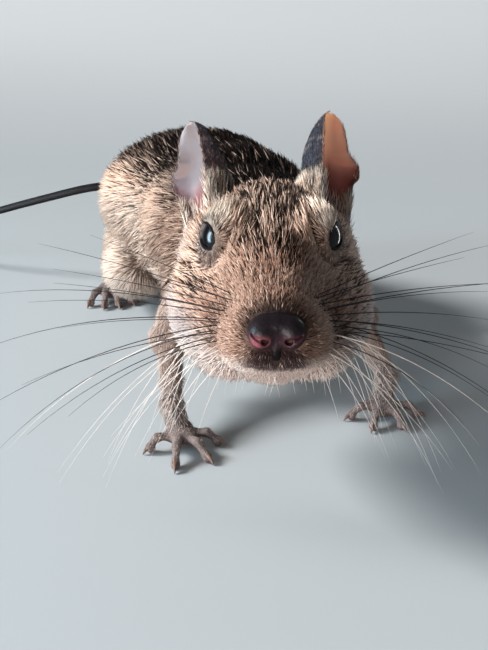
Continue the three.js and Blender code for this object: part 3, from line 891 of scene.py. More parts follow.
def dusk_share(p, slope, share):
    """How many of the tufts are dark all over."""
    x, y, z = p.T
    on_body = smooth_step(y, 40, 56)
    on_head = 1 - on_body
    level = read(DUSK_ALONG, y)
    level = level + 0.25 * smooth_step(slope[:, 2], 0.3, 0.8) * smooth_step(y, 9, 20) * on_head
    level = level - 0.22 * smooth_step(np.abs(slope[:, 0]), 0.3, 0.75) * on_head
    level = np.maximum(level, LEAST_DUSK)
    level = level * (1 - 0.85 * smooth_step(lowness(p), -31.5, -28) * on_head)
    level = level * (1 - 0.7 * cheek_share(p, slope))
    for row in ROWS_WITH_DARK_ROOTS:
        for column in range(row.count):
            spot_y, spot_z = row.front + row.spacing * column, row.height + ROW_SLOPE * column
            spot = np.hypot(y - spot_y, z - spot_z)
            level = level + 0.5 * np.exp(-((spot / 0.5) ** 2)) * (np.abs(x) > 3)
    ridge = smooth_step(slope[:, 2], 0.35, 1.0)
    front = 1 - smooth_step(y, 60, 95)
    level = level + on_body * (0.12 + 0.1 * front + 0.62 * ridge * on_body - level)
    level = level * (1 - 0.8 * brow_share(p))
    return level + share[:, 3:].sum(1) * (LEAST_DUSK - level)


# %% Colours over the body


def markings(p, slope, share):
    x, y, z = np.abs(p[:, 0]), p[:, 1], p[:, 2]
    up = slope[:, 2]
    on_body = smooth_step(y, 40, 56)
    on_head = 1 - on_body
    shoulder = smooth_step(y, 36, 50) * (1 - smooth_step(y, 64, 84))
    crown = smooth_step(up, 0.5, 0.95) * smooth_step(y, 16, 30) * on_head
    throat_line = smooth_step(-z, -29.5, -25.5) * smooth_step(y, 7, 12)
    low = np.maximum(smooth_step(lowness(p), -30.5, -27), throat_line)
    level_side = (1 - smooth_step(np.abs(up), 0.1, 0.6)) * on_body
    dark_brow = np.hypot(0.8 * (x - 12.4), z - 44.6) + smooth_step(y, 32, 38) * 9
    round_nose = np.linalg.norm(p - (0, 1, 32), axis=1)
    over_nose = (1 - smooth_step(round_nose, 3.8, 6.8)) * smooth_step(z, 31, 34)
    round_lip = np.linalg.norm((p - (0, 2, 29)) * (0.75, 1, 1), axis=1) + 3 * smooth_step(27.6 - z, 0, 1.2)
    return overlay(
        plain(BUFF, len(p)),
        (SHOULDER_BROWN, 0.85 * shoulder),
        (DARK, 0.7 * smooth_step(up, 0.35, 0.95) * on_body),
        (BLACK_BROWN, 0.85 * smooth_step(up, 0.6, 0.95) * on_body),
        (OCHRE, 0.7 * (1 - smooth_step(y, 12, 26))),
        (OCHRE, 0.35 * crown),
        (CREAM, 0.9 * low * on_head),
        # Pale pink chin, painted brighter than its own pink: painted light on a part that faces down into
        # shade.
        (CHIN_PINK_AND_PAINTED_LIGHT, 0.8 * low * (1 - smooth_step(y, 8, 16))),
        (BELLY_PALE, 0.95 * smooth_step(-up, 0.1, 0.7) * on_body),
        (FLANK_BUFF, 0.85 * level_side * smooth_step(y, 66, 100)),
        (ARM_BUFF, 0.9 * share[:, ARM].sum(1)),
        (LEG_BUFF, 0.7 * share[:, LEG].sum(1)),
        (CHEEK_GREY, 0.85 * cheek_share(p, slope)),
        (BROW_PALE, 0.95 * brow_share(p)),
        (BLACK_BROWN, 0.85 * (1 - smooth_step(dark_brow, 0.9, 2.4))),
        (NOSE_SHADE, 0.9 * over_nose),
        (LIP_DARK, 0.92 * (1 - smooth_step(round_lip, 2.4, 3.9))),
    )


tone = markings(skin_points, skin_slope, shares)

# %% [markdown]
# Some places stay bare: round the nose pad, along the lids' rims, and the lowest skin, which nearly
# touches the floor. The hair close to an eye is short, and it fans away from the lids so that no
# tuft crosses the eye.

# %% Bare places, and the hair round the eyes
BARE_BELOW = 0.8
nose_form = blend(
    0.9,
    *both_sides(egg, (2.05, 2.0, 32.8), (1.95, 2.3, 2.3)),
    egg((0, 2.4, 33.9), (2.6, 2.2, 1.6)),
    *both_sides(egg, (0.3, 2.3, 30.6), (0.5, 1.3, 1.9)),
)


def nose_gap(p):
    """Distance to the nose pad, so that no hair grows from under it."""
    gap = np.full(len(p), 9.0)
    near = p[:, 1] < 9
    gap[near] = nose_form(p[near])
    return gap


bare = np.ones(len(skin_points))
for sign in SIDES.values():
    past, distance = past_opening(skin_points, sign)
    near = (distance < EYE_RADIUS + 4) & (skin_points[:, 0] * sign > 0)
    outward = unit(unit(skin_points - EYE * (sign, 1, 1)) - unit(GAZE * (sign, 1, 1)))
    lie = unit(lie + 1.8 * (near * (1 - smooth_step(past, 0.4, 6.0)))[:, None] * outward)
    long = long * (1 - 0.5 * near * (1 - smooth_step(past, 0.4, 3.2)))
    tone = towards(tone, LID_DARK, 0.6 * near * (1 - smooth_step(past, 0.3, 1.1)))
    bare *= np.where(near, smooth_step(past, 0.3, 0.5), 1)
bare *= smooth_step(nose_gap(skin_points), 0.05, 0.3)
bare *= skin_points[:, 2] > BARE_BELOW
print("bare:", int((bare == 0).sum()), "of", len(bare), "vertices")

# %% What each vertex of the skin keeps
DENSE_BY_LENGTH = ((0.8, 30), (1.5, 22), (2.6, 14), (3.4, 9.5), (4.5, 7.2), (6.5, 5.8), (9.4, 5.8))
WIDE_BY_LENGTH = ((0.8, 0.1), (1.5, 0.125), (2.6, 0.17), (3.4, 0.24), (5.0, 0.29), (9.4, 0.33))


def hair_facts(lie, long, wide, dense, flat_place, dusk, tone):
    """Names and kinds of the values that a coat is grown from, in metres."""
    return (
        ("lie", "FLOAT_VECTOR", lie),
        ("long", "FLOAT", long * MM),
        ("wide", "FLOAT", wide * MM),
        ("dense", "FLOAT", dense / MM**2),
        ("flat_place", "FLOAT_VECTOR", flat_place),
        ("dusk", "FLOAT", dusk),
        ("tone", "FLOAT_COLOR", opaque(tone)),
    )


on_arm = shares[:, ARM].sum(1)
dense = read(DENSE_BY_LENGTH, long) * bare * (1 + 0.9 * on_arm)
wide = read(WIDE_BY_LENGTH, long) * (1 - 0.35 * on_arm)
dusk = dusk_share(skin_points, skin_slope, shares)
skin = make_object("skin", skin_points, skin_faces)
for fact in hair_facts(lie, long, wide, dense, place_flat, dusk, tone):
    store(skin, *fact)
print("skin keeps", len(skin.data.attributes), "attributes")

# %% [markdown]
# ## Node helpers
# Materials and Geometry Nodes are both built from nodes and links. One small function adds a node,
# sets its options and fills its sockets, each from a value or from another node's output. The few
# kinds that come back often get a shorter function each.

# %% Helpers for node trees


def add(tree, kind, sockets=None, **options):
    """Adds a node to a tree, with its options and what goes into its sockets."""
    node = tree.nodes.new(kind)
    for key, value in options.items():
        setattr(node, key, value)
    for key, value in (sockets or {}).items():
        if isinstance(value, bpy.types.NodeSocket):
            tree.links.new(value, node.inputs[key])
        else:
            node.inputs[key].default_value = value
    return node


def new_group(kind, name, inputs, outputs):
    tree = bpy.data.node_groups.new(name, kind)
    for direction, sockets in (("INPUT", inputs), ("OUTPUT", outputs)):
        for label, (socket_kind, value) in sockets.items():
            made = tree.interface.new_socket(label, in_out=direction, socket_type=socket_kind)
            if value is not None:
                made.default_value = value
    return tree


def math_node(tree, operation, *values):
    return add(tree, "ShaderNodeMath", dict(enumerate(values)), operation=operation).outputs[0]


def map_range(tree, value, low, high, to_low=0.0, to_high=1.0):
    sockets = dict(enumerate((value, low, high, to_low, to_high)))
    return add(tree, "ShaderNodeMapRange", sockets).outputs[0]


def mix_colours(tree, factor, first, second, blend_type="MIX"):
    sockets = {"Factor": factor, 6: first, 7: second}
    return add(tree, "ShaderNodeMix", sockets, data_type="RGBA", blend_type=blend_type).outputs[2]


def attribute(tree, name, output="Fac"):
    return add(tree, "ShaderNodeAttribute", attribute_name=name).outputs[output]


# %% [markdown]
# ## The coat's materials
# One shader group gives the agouti banding. It takes the marking's colour, the place along the
# tuft and a chance value for the tuft, and gives a colour: darker at the root, brightest past the
# middle, with some tufts dark all over, some rusty and some pale. The skin under the tufts uses the
# same group with a streaky noise in place of single tufts, so a gap in the coat doesn't show.

# %% Shader group for banded hair
RUST = (0.72, 0.52, 0.4, 1)
PALE_HAIR = (*paint(240, 212, 192), 1)
DARK_HAIR = (*(0.35 * BLACK_BROWN), 1)
HAIR_TIP = (*BLACK_BROWN, 1)

banding = new_group(
    "ShaderNodeTree",
    "banded_hair",
    {
        "Tone": ("NodeSocketColor", None),
        "Along": ("NodeSocketFloat", 0.5),
        "Chance": ("NodeSocketFloat", 0.5),
        "Dark share": ("NodeSocketFloat", 0.42),
    },
    {"Color": ("NodeSocketColor", None)},
)
given = add(banding, "NodeGroupInput").outputs
calculate = partial(math_node, banding)
root_tone = calculate("MULTIPLY_ADD", given["Dark share"], -1.1, 0.5)
rise = map_range(banding, given["Along"], 0.1, 0.7, root_tone, 1.32)
surely_dark = calculate("SUBTRACT", given["Dark share"], given["Chance"])
dark_tuft = map_range(banding, surely_dark, -0.07, 0.07, 0.0, 0.97)
paleness = calculate("MULTIPLY_ADD", given["Dark share"], -0.6, 0.85)
pale_tuft = map_range(banding, given["Chance"], 0.7, 0.95, 0.0, paleness)
rustiness = calculate("MINIMUM", calculate("MULTIPLY", given["Dark share"], 3.0), 0.8)
rust_tuft = map_range(banding, given["Chance"], 0.62, 0.32, 0.0, rustiness)
tip = map_range(banding, given["Along"], 0.85, 1.0, 0.0, 0.3)
banded = mix_colours(banding, rust_tuft, given["Tone"], RUST, "MULTIPLY")
banded = mix_colours(banding, 1.0, banded, rise, "MULTIPLY")
banded = mix_colours(banding, pale_tuft, banded, PALE_HAIR)
banded = mix_colours(banding, dark_tuft, banded, DARK_HAIR)
banded = mix_colours(banding, tip, banded, HAIR_TIP)
add(banding, "NodeGroupOutput", {"Color": banded})
print(banding.name, "has", len(banding.nodes), "nodes")

# %% Helpers for materials


def new_material(name, **constants):
    """A new finish. The name of a setting has an underscore for each space."""
    material = bpy.data.materials.new(name)
    material.use_nodes = True
    shader = material.node_tree.nodes["Principled BSDF"]
    for key, value in constants.items():
        shader.inputs[key.replace("_", " ")].default_value = value
    return material, material.node_tree, shader


def toned_material(name, **constants):
    """A finish whose colour is the tone kept on the piece."""
    material, tree, shader = new_material(name, **constants)
    tree.links.new(attribute(tree, "tone", "Color"), shader.inputs["Base Color"])
    return material, tree, shader


def on_object(tree):
    return add(tree, "ShaderNodeTexCoord").outputs["Object"]


def on_map(tree, scale):
    """Places on the piece's flat map, stretched."""
    sockets = {"Vector": attribute(tree, "flat_place", "Vector"), "Scale": scale}
    return add(tree, "ShaderNodeMapping", sockets).outputs[0]


def relief(tree, shader, texture, where, strength, depth, **sockets):
    """Takes the first output of a texture as the height of a fine bump."""
    pattern = add(tree, texture, {"Vector": where, **sockets}).outputs[0]
    bump = add(tree, "ShaderNodeBump", {"Strength": strength, "Distance": depth, "Height": pattern})
    tree.links.new(bump.outputs[0], shader.inputs["Normal"])
    return pattern


def band_hair(tree, shader, along, luck):
    """Colours a finish with the banded hair group, over the tone and dusk kept on the piece."""
    sockets = {
        "Tone": attribute(tree, "tone", "Color"),
        "Along": along,
        "Chance": luck,
        "Dark share": attribute(tree, "dusk"),
    }
    bands = add(tree, "ShaderNodeGroup", sockets, node_tree=banding)
    tree.links.new(bands.outputs[0], shader.inputs["Base Color"])


# %% Hair, and the skin under it
UNDER_HAIR_ALONG = 0.3
STREAK_SCALE = (90, 700, 1)
hair, tree, shader = new_material("hair", Roughness=0.62, Specular_IOR_Level=0.16)
leaf = add(tree, "ShaderNodeSeparateXYZ", {0: attribute(tree, "leaf", "Vector")})
band_hair(tree, shader, leaf.outputs["Y"], attribute(tree, "chance"))

under_hair, tree, shader = new_material("under_hair", Roughness=0.7, Specular_IOR_Level=0.2)
streaks = relief(
    tree, shader, "ShaderNodeTexNoise", on_map(tree, STREAK_SCALE), 0.6, 0.0003, Scale=1.0, Detail=3.0
)
band_hair(tree, shader, UNDER_HAIR_ALONG, streaks)
skin.data.materials.append(under_hair)
print("materials:", hair.name, under_hair.name)

# %% [markdown]
# ## The coat
# A degu's coat is dense, short and sleek. It could be grown as hair curves, but the part is kept as
# plain meshes, and single hairs would be far too many. So the coat is made of tufts: each is a slim
# spindle of five points, a root, three round its middle and a bent tip. Geometry Nodes scatter
# them over the skin, turn each to the lie of the hair, lift it a little, and make the instances
# real. Each tuft also gets a patch of its own on a map, at its root's place on the flat map of the
# skin, so that its colour can be baked.

# %% Three tufts
WAIST = 0.36
ROOT_DEPTH = 0.03


def make_tuft(name, bend, lean, thick):
    """A tuft one unit long and wide. Its leaf value is its place across and along itself."""
    waist = [(-0.5, WAIST, bend), (0.5, WAIST, bend), (0, WAIST, bend + thick)]
    points = [(0, 0, -ROOT_DEPTH), *waist, (lean, 1, bend * 1.1)]
    faces = [(0, 1, 3), (0, 3, 2), (0, 2, 1), (1, 4, 3), (3, 4, 2), (1, 2, 4)]
    mesh = bpy.data.meshes.new(name)
    mesh.from_pydata(points, [], faces)
    mesh.shade_smooth()
    leaf_values = [(0.5, 0, 0), (0, WAIST, 0), (1, WAIST, 0), (0.5, WAIST, 0), (0.5, 1, 0)]
    tuft = bpy.data.objects.new(name, mesh)
    store(tuft, "leaf", "FLOAT_VECTOR", leaf_values)
    return tuft


tufts = bpy.data.collections.new("tufts")
for k, (bend, lean, thick) in enumerate(((0.05, 0.5, 0.03), (0.09, -0.4, 0.035), (0.07, 0.1, 0.03))):
    tufts.objects.link(make_tuft(f"tuft_{k}", bend, lean, thick))

# %% The tree that grows a coat: where tufts stand
coat_tree = new_group(
    "GeometryNodeTree",
    "grow_coat",
    {
        "Geometry": ("NodeSocketGeometry", None),
        "Amount": ("NodeSocketFloat", 1.0),
        "Lift": ("NodeSocketFloat", 0.16),
        "Turn": ("NodeSocketFloat", 0.22),
        "Layer": ("NodeSocketInt", 0),
        "Layers": ("NodeSocketInt", 1),
        "Seed": ("NodeSocketInt", 1),
        "Tufts": ("NodeSocketCollection", None),
        "Material": ("NodeSocketMaterial", None),
    },
    {"Geometry": ("NodeSocketGeometry", None)},
)
given = add(coat_tree, "NodeGroupInput").outputs
node = partial(add, coat_tree)
calculate = partial(math_node, coat_tree)


def shown(sockets):
    """The sockets that a node shows for the data type it is set to."""
    return [socket for socket in sockets if socket.enabled]


def kept(name, kind="FLOAT"):
    """Reads a value that the piece keeps."""
    return shown(node("GeometryNodeInputNamedAttribute", {"Name": name}, data_type=kind).outputs)[0]


def chance(low, high, seed, kind="FLOAT"):
    """A random value for each tuft."""
    drawn = node("FunctionNodeRandomValue", {"Seed": seed}, data_type=kind)
    for socket, value in zip(shown(drawn.inputs), (low, high)):
        if isinstance(value, bpy.types.NodeSocket):
            coat_tree.links.new(value, socket)
        else:
            socket.default_value = value
    return shown(drawn.outputs)[0]


scattered = node(
    "GeometryNodeDistributePointsOnFaces",
    {
        "Mesh": given["Geometry"],
        "Density": calculate("MULTIPLY", kept("dense"), given["Amount"]),
        "Seed": given["Seed"],
    },
    distribute_method="RANDOM",
).outputs
mine = node("FunctionNodeCompare", data_type="INT", operation="EQUAL")
last_layer = calculate("SUBTRACT", given["Layers"], 1)
coat_tree.links.new(chance(0, last_layer, 11, "INT"), mine.inputs[2])
coat_tree.links.new(given["Layer"], mine.inputs[3])

# %% The tree that grows a coat: how tufts turn, and how large they are
FULL_LIFT_LENGTH = 4.2 * MM
along_skin = node(
    "FunctionNodeAxesToRotation",
    {"Primary Axis": scattered["Normal"], "Secondary Axis": kept("lie", "FLOAT_VECTOR")},
    primary_axis="Z",
    secondary_axis="Y",
)
flatter = calculate("MINIMUM", calculate("DIVIDE", FULL_LIFT_LENGTH, kept("long")), 1.0)
lift = calculate("MULTIPLY", calculate("MULTIPLY", given["Lift"], flatter), chance(0.3, 1.7, 3))
roll = chance(-0.5, 0.5, 5)
turn = calculate("MULTIPLY", given["Turn"], chance(-1.0, 1.0, 4))
swing = node("ShaderNodeCombineXYZ", {0: lift, 1: roll, 2: turn})
by_swing = node("FunctionNodeEulerToRotation", {0: swing.outputs[0]})
swung = node(
    "FunctionNodeRotateRotation",
    {"Rotation": along_skin.outputs[0], "Rotate By": by_swing.outputs[0]},
    rotation_space="LOCAL",
)
length = calculate("MULTIPLY", kept("long"), chance(0.7, 1.2, 6))
width = calculate("MULTIPLY", kept("wide"), chance(0.7, 1.3, 7))
size = node("ShaderNodeCombineXYZ", {0: width, 1: length, 2: length})

# %% The tree that grows a coat: clumps, instances and the bake's map
CLUMP_SCALE = (50.0, 220.0, 0.0)
PATCH = 0.003
on_skin_map = kept("flat_place", "FLOAT_VECTOR")
stretched = node("ShaderNodeVectorMath", {0: on_skin_map, 1: CLUMP_SCALE}, operation="MULTIPLY")
clumps = node("ShaderNodeTexNoise", {"Vector": stretched.outputs[0], "Scale": 1.0, "Detail": 2.0})
clump = map_range(coat_tree, clumps.outputs["Fac"], 0.4, 0.6)
own_luck = calculate("MULTIPLY", chance(0.0, 1.0, 8), 0.5)
lucky = node(
    "GeometryNodeStoreNamedAttribute",
    {
        "Geometry": scattered["Points"],
        "Name": "chance",
        "Value": calculate("MULTIPLY_ADD", clump, 0.5, own_luck),
    },
    data_type="FLOAT",
    domain="POINT",
)
kinds = node(
    "GeometryNodeCollectionInfo",
    {"Collection": given["Tufts"], "Separate Children": True, "Reset Children": True},
)
grown = node(
    "GeometryNodeInstanceOnPoints",
    {
        "Points": lucky.outputs[0],
        "Selection": mine.outputs[0],
        "Instance": kinds.outputs[0],
        "Pick Instance": True,
        "Instance Index": chance(0, 2, 9, "INT"),
        "Rotation": swung.outputs[0],
        "Scale": size.outputs[0],
    },
)
real = node("GeometryNodeRealizeInstances", {0: grown.outputs[0]})
patch = node(
    "ShaderNodeVectorMath",
    {0: kept("leaf", "FLOAT_VECTOR"), 1: (PATCH,) * 3, 2: kept("flat_place", "FLOAT_VECTOR")},
    operation="MULTIPLY_ADD",
)
mapped = node(
    "GeometryNodeStoreNamedAttribute",
    {"Geometry": real.outputs[0], "Name": "OFBake", "Value": patch.outputs[0]},
    data_type="FLOAT2",
    domain="CORNER",
)
dressed = node("GeometryNodeSetMaterial", {"Geometry": mapped.outputs[0], "Material": given["Material"]})
node("NodeGroupOutput", {"Geometry": dressed.outputs[0]})
print(coat_tree.name, "has", len(coat_tree.nodes), "nodes")

# %% [markdown]
# A tree is run on a piece through a modifier, and the result is kept as a plain mesh. The coat of
# the body is too large for one piece, so it comes in layers, each with a part of the tufts.

# %% Grow the coat
COAT_LAYERS = 6


def run_tree(name, source, group, **values):
    """Runs a tree on an object and keeps the result as a plain mesh object."""
    modifier = source.modifiers.new("grow", "NODES")
    modifier.node_group = group
    for socket in group.interface.items_tree:
        if socket.item_type == "SOCKET" and socket.in_out == "INPUT" and socket.name in values:
            modifier[socket.identifier] = values[socket.name]
    evaluated = source.evaluated_get(bpy.context.evaluated_depsgraph_get())
    mesh = bpy.data.meshes.new_from_object(evaluated)
    source.modifiers.remove(modifier)
    mesh.name = name
    made = bpy.data.objects.new(name, mesh)
    bpy.context.scene.collection.objects.link(made)
    print(name, len(mesh.polygons), "faces")
    return made


def grow_coat(name, source, layers, slot, **values):
    for layer in range(layers):
        piece = run_tree(
            f"{name}_{layer + 1}",
            source,
            coat_tree,
            Layer=layer,
            Layers=layers,
            Tufts=tufts,
            Material=hair,
            **values,
        )
        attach(piece, "root")


grow_coat("coat", skin, COAT_LAYERS, "body_fur", Amount=1.0)
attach(skin, "root")
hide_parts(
    "head",
    "lower_jaw",
    "neck",
    "torso",
    *(f"{part}_{side}" for part in ("foreleg", "hindleg") for side in ("left", "right")),
)

# %% [markdown]
# ## Feet
# The paws are nearly bare: grey-pink skin with fine granules, and a thin cover of very short pale
# hairs on top that run from the wrist or heel to the toes. The soles stay bare. The granules are too
# fine to model, so they are a bump, and the hairs come from the coat's own tree. They grow while the
# foot keeps their colour, and afterwards the foot gets the colour of its skin.

# %% Foot skin and its short hairs
FOOT_TONE = paint(124, 110, 107)
SOLE_TONE = paint(112, 86, 84)
FOOT_HAIR = paint(176, 164, 158)
MAP_MARGIN = 15

foot_skin, tree, shader = toned_material(
    "foot_skin",
    Roughness=0.55,
    Specular_IOR_Level=0.4,
    Subsurface_Weight=0.15,
    Subsurface_Radius=(0.0009, 0.0004, 0.0003),
    Subsurface_Scale=0.6,
)
relief(tree, shader, "ShaderNodeTexVoronoi", on_object(tree), 0.5, 0.0001, Scale=2400.0)


def dress(piece, facts, material, slot, *nodes):
    """Stores values on a piece, gives it a material, and ties it to the model's nodes."""
    for fact in facts:
        store(piece, *fact)
    piece.data.materials.append(material)
    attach(piece, "root")
    if nodes:
        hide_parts(*nodes)


def colour_only(shade):
    return [("tone", "FLOAT_COLOR", opaque(shade))]


for name, (points, faces, slope) in feet.items():
    kind, side = name.split("_")
    if kind == "forepaw":
        middle = np.array(HANDS[side]["palm"], float)
        way = flat_unit(np.mean(HANDS[side]["tips"], axis=0) - middle)
        fan = 0.6 * way + 0.5 * unit((points - middle) * (1, 1, 0))
    else:
        across = SIDES[side] * 26
        middle = at_hips(across, 9 + HIND_STEP[side], 0)
        way = flat_unit(at_hips(across, 0, 0) - at_hips(SIDES[side] * 22.5, 29.5, 0))
        fan = plain(way, len(points))
    spot = (points - middle)[:, :2] * MAP_SCALE + MAP_CORNERS[name] + MAP_MARGIN * MAP_SCALE
    top = smooth_step(slope[:, 2], -0.2, 0.4) * (points[:, 2] > 1.2)
    high = smooth_step(points[:, 2], 3.0, 6.5)
    facts = hair_facts(
        lie=unit(fan + (0, 0, -0.25)),
        long=0.65 + 0.9 * high,
        wide=0.11 + 0.06 * high,
        dense=(9 + 5 * high) * top,
        flat_place=np.column_stack([spot, 0 * high]),
        dusk=0 * high,
        tone=plain(FOOT_HAIR, len(points)),
    )
    foot = make_object(name, points, faces)
    dress(foot, facts, foot_skin, "foot_skin", name)
    grow_coat(f"hairs_{name}", foot, 1, "pale_fur", Seed=21, Lift=0.12)
    skin_tone = overlay(
        plain(FOOT_TONE, len(points)),
        (SOLE_TONE, smooth_step(-slope[:, 2], 0, 0.6)),
    )
    store(foot, "tone", "FLOAT_COLOR", opaque(skin_tone))

# %% [markdown]
# ## Tubes: claws, whiskers and the tail
# A tube follows a curve and closes at both ends. Claws and whiskers taper to a point, and the tail
# tapers slowly. A curve object with a bevel gives such tubes as well, but one function for all
# three keeps the points in order, so that colours and hair can be kept along them. A claw is horn
# that bends down towards its tip, so its tube follows a short arc.

# %% Tubes


def ring_faces(rows, sides, flip=False, closed=False):
    """Four-sided faces between rings of points. If closed, the last ring joins the first."""
    faces = []
    for row in range(rows if closed else rows - 1):
        here, above = row * sides, (row + 1) % rows * sides
        for k in range(sides):
            after = (k + 1) % sides
            face = (here + k, above + k, above + after, here + after)
            faces.append((face[0], *face[:0:-1]) if flip else face)
    return faces


def tube(line, radii, sides, flat=1.0):
    """Points and faces of a closed tube round a line, one ring for each of its points."""
    line = np.asarray(line, float)
    tangent = unit(np.gradient(line, axis=0))
    side = np.cross(tangent, (0, 0, 1.0))
    steep = np.linalg.norm(side, axis=1) < 0.05
    side[steep] = np.cross(tangent[steep], (0, 1.0, 0))
    side = unit(side)
    up = np.cross(side, tangent)
    turn = np.arange(sides) / sides * 2 * np.pi
    ring = np.cos(turn)[None, :, None] * side[:, None] + flat * np.sin(turn)[None, :, None] * up[:, None]
    points = (line[:, None] + np.asarray(radii)[:, None, None] * ring).reshape(-1, 3)
    last = (len(line) - 1) * sides
    ends = [tuple(reversed(range(sides))), tuple(range(last, last + sides))]
    return points, ring_faces(len(line), sides, flip=True) + ends


def gather(parts):
    """Joins several sets of points and faces, with the number of each point's part."""
    points, faces, owner = [], [], []
    start = 0
    for number, (part_points, part_faces) in enumerate(parts):
        points.append(part_points)
        faces += [tuple(start + k for k in face) for face in part_faces]
        owner += [number] * len(part_points)
        start += len(part_points)
    return np.concatenate(points), faces, np.array(owner)


# %% Claws
CLAW_TONE = paint(120, 96, 84)
CLAW_TAPER = ((0, 0.95), (0.5, 0.72), (0.9, 0.3), (1, 0.08))
CLAW_SIDES = 8
CLAW_DEPTH = 1.25

horn, _, _ = toned_material("horn", Roughness=0.3, Specular_IOR_Level=0.5, Coat_Weight=0.3)
for foot_name in feet:
    parts = []
    for claw in claws:
        if claw.foot != foot_name:
            continue
        t = np.linspace(0, 1, 9)[:, None]
        start = claw.start - flat_unit(claw.end - claw.start) * 0.5
        arch = claw.bend + (0, 0, 0.35)
        line = (1 - t) ** 2 * start + 2 * t * (1 - t) * arch + t**2 * claw.end + (0, 0, 0.1)
        parts.append(tube(line, claw.radius * read(CLAW_TAPER, t[:, 0]), CLAW_SIDES, CLAW_DEPTH))
    points, faces, _ = gather(parts)
    claw_piece = make_object(f"claws_{foot_name}", points, faces)
    dress(claw_piece, colour_only(plain(CLAW_TONE, len(points))), horn, "foot_skin")
    print(foot_name, "has", len(parts), "claws")

# %% [markdown]
# ## Tail
# The tail is scaly, thinly set with short black hairs that lengthen into a brush at its end. Near
# the body it is browner and thicker. The scales are little more than half a millimetre wide, so they
# are a bump on a slim core, and the coat's tree grows the hairs, which lie along the tail.

# %% Tail
TAIL = Line(
    [
        at_hips(0, 26, 24),
        (-29, 152, 27.5),
        (-42, 152.5, 29),
        (-54.7, 148.5, 28.5),
        (-70, 148.5, 25),
        (-86.3, 151, 20.5),
        (-102, 156, 15.5),
        (-116, 163, 11),
        (-128, 171, 8.5),
    ]
)
TAIL_RADIUS = 1.95
TAIL_SIDES = 20
TAIL_GIRTH = 12
TAIL_BLACK = paint(30, 26, 27)
TAIL_BROWN = paint(120, 96, 78)
CORE = ((0, 0.72), (0.75, 0.72), (0.97, 0.4), (1, 0.1))
TAIL_HAIR = ((0, 4.2), (0.1, 2.6), (0.5, 2.8), (0.75, 4.6), (1, 7.5))
TAIL_HAIR_WIDTH = ((0, 0.34), (0.1, 0.24), (1, 0.26))
TAIL_HAIR_DENSITY = ((0, 7), (0.1, 5), (0.5, 5), (0.9, 8), (1, 14))

radius = TAIL_RADIUS * (1 + 0.75 * np.exp(-TAIL.share / 0.07) - 0.3 * TAIL.share)
points, faces = tube(TAIL.points, read(CORE, TAIL.share) * radius, TAIL_SIDES)
at = np.repeat(TAIL.share, TAIL_SIDES)
turn = np.tile(np.arange(TAIL_SIDES) / TAIL_SIDES, len(TAIL.points))
corner = MAP_CORNERS["tail"]
spot = [corner[0] + at * TAIL.length * MAP_SCALE, corner[1] + turn * TAIL_GIRTH * MAP_SCALE, 0 * turn]
facts = hair_facts(
    lie=np.repeat(TAIL.tangent, TAIL_SIDES, 0),
    long=read(TAIL_HAIR, at),
    wide=read(TAIL_HAIR_WIDTH, at),
    dense=read(TAIL_HAIR_DENSITY, at),
    flat_place=np.column_stack(spot),
    dusk=np.full(len(points), 0.5),
    tone=overlay(plain(TAIL_BLACK, len(points)), (TAIL_BROWN, 1 - smooth_step(at, 0.02, 0.14))),
)
scales, tree, shader = toned_material("tail_scales", Roughness=0.6)
relief(tree, shader, "ShaderNodeTexVoronoi", on_map(tree, (420, 420, 1)), 0.6, 0.0002, Scale=1.0)
tail = make_object("tail", points, faces)
dress(tail, facts, scales, "tail_fur", "tail_base", "tail_middle", "tail_brush")
grow_coat("hairs_tail", tail, 1, "tail_fur", Seed=31, Lift=0.2)
print("tail", round(TAIL.length, 1), "mm long")

# %% [markdown]
# ## Ears
# Each ear is a thin leaf. Its section starts at a front edge that folds forwards, runs round the
# inner side of the ear and ends at the hind edge, which has a notch above a small lobe. A flat plate
# could be bent into shape, but it would lose the fold. A stack of sections from foot to tip keeps it,
# and gives an inner and an outer wall, which meet at the rim.

# %% The form of an ear
FOLD_DEPTH = ((0, 0.8), (0.25, 0.95), (0.5, 1), (0.7, 0.8), (0.88, 0.46), (0.95, 0.24), (1, 0.03))
HIND_REACH = (
    (0, 4.4),
    (0.25, 4.8),
    (0.4, 5.2),
    (0.5, 6.5),
    (0.6, 6.3),
    (0.67, 4.1),
    (0.82, 3.4),
    (0.92, 2.8),
    (0.97, 2.2),
    (1, 0.9),
)
INNER_REACH = (
    (0, 4.4),
    (0.3, 4.9),
    (0.5, 5.0),
    (0.67, 4.2),
    (0.82, 3.4),
    (0.92, 2.8),
    (0.97, 2.2),
    (1, 0.9),
)
EARS = {
    "left": {
        "foot": (10.8, 42, 40.8),
        "tip": (12.3, 54, 58.1),
        "turn": 0,
        "front": ((0, 1), (0.5, 1.25), (0.8, 1.25), (0.92, 1), (1, 0.2)),
        "side": ((0, 3.6), (0.25, 4.2), (0.5, 4.4), (0.7, 3.6), (0.9, 1.8), (1, 0.4)),
    },
    "right": {
        "foot": (11.6, 42, 40.2),
        "tip": (15.1, 54, 56.1),
        "turn": 12,
        "front": ((0, 1.8), (0.5, 2.2), (0.8, 1.9), (0.92, 1.4), (1, 0.3)),
        "side": ((0, 4.2), (0.25, 4.7), (0.5, 4.8), (0.7, 4.2), (0.9, 2.5), (1, 0.5)),
    },
}
EAR_ROWS = 72
EAR_COLUMNS = 56
EAR_HALF = 0.2
EAR_HEIGHTS = 1 - 1.1 * (1 - np.linspace(0, 1, EAR_ROWS)) ** 1.35
EAR_ACROSS = np.linspace(0, 1, EAR_COLUMNS)


def read_curve(pairs, at_values):
    """Like read, with a smooth curve between the pairs."""
    curve = catmull_rom(np.array([(x, y, 0.0) for x, y in pairs]), 40)
    return np.interp(at_values, curve[:, 0], curve[:, 1])


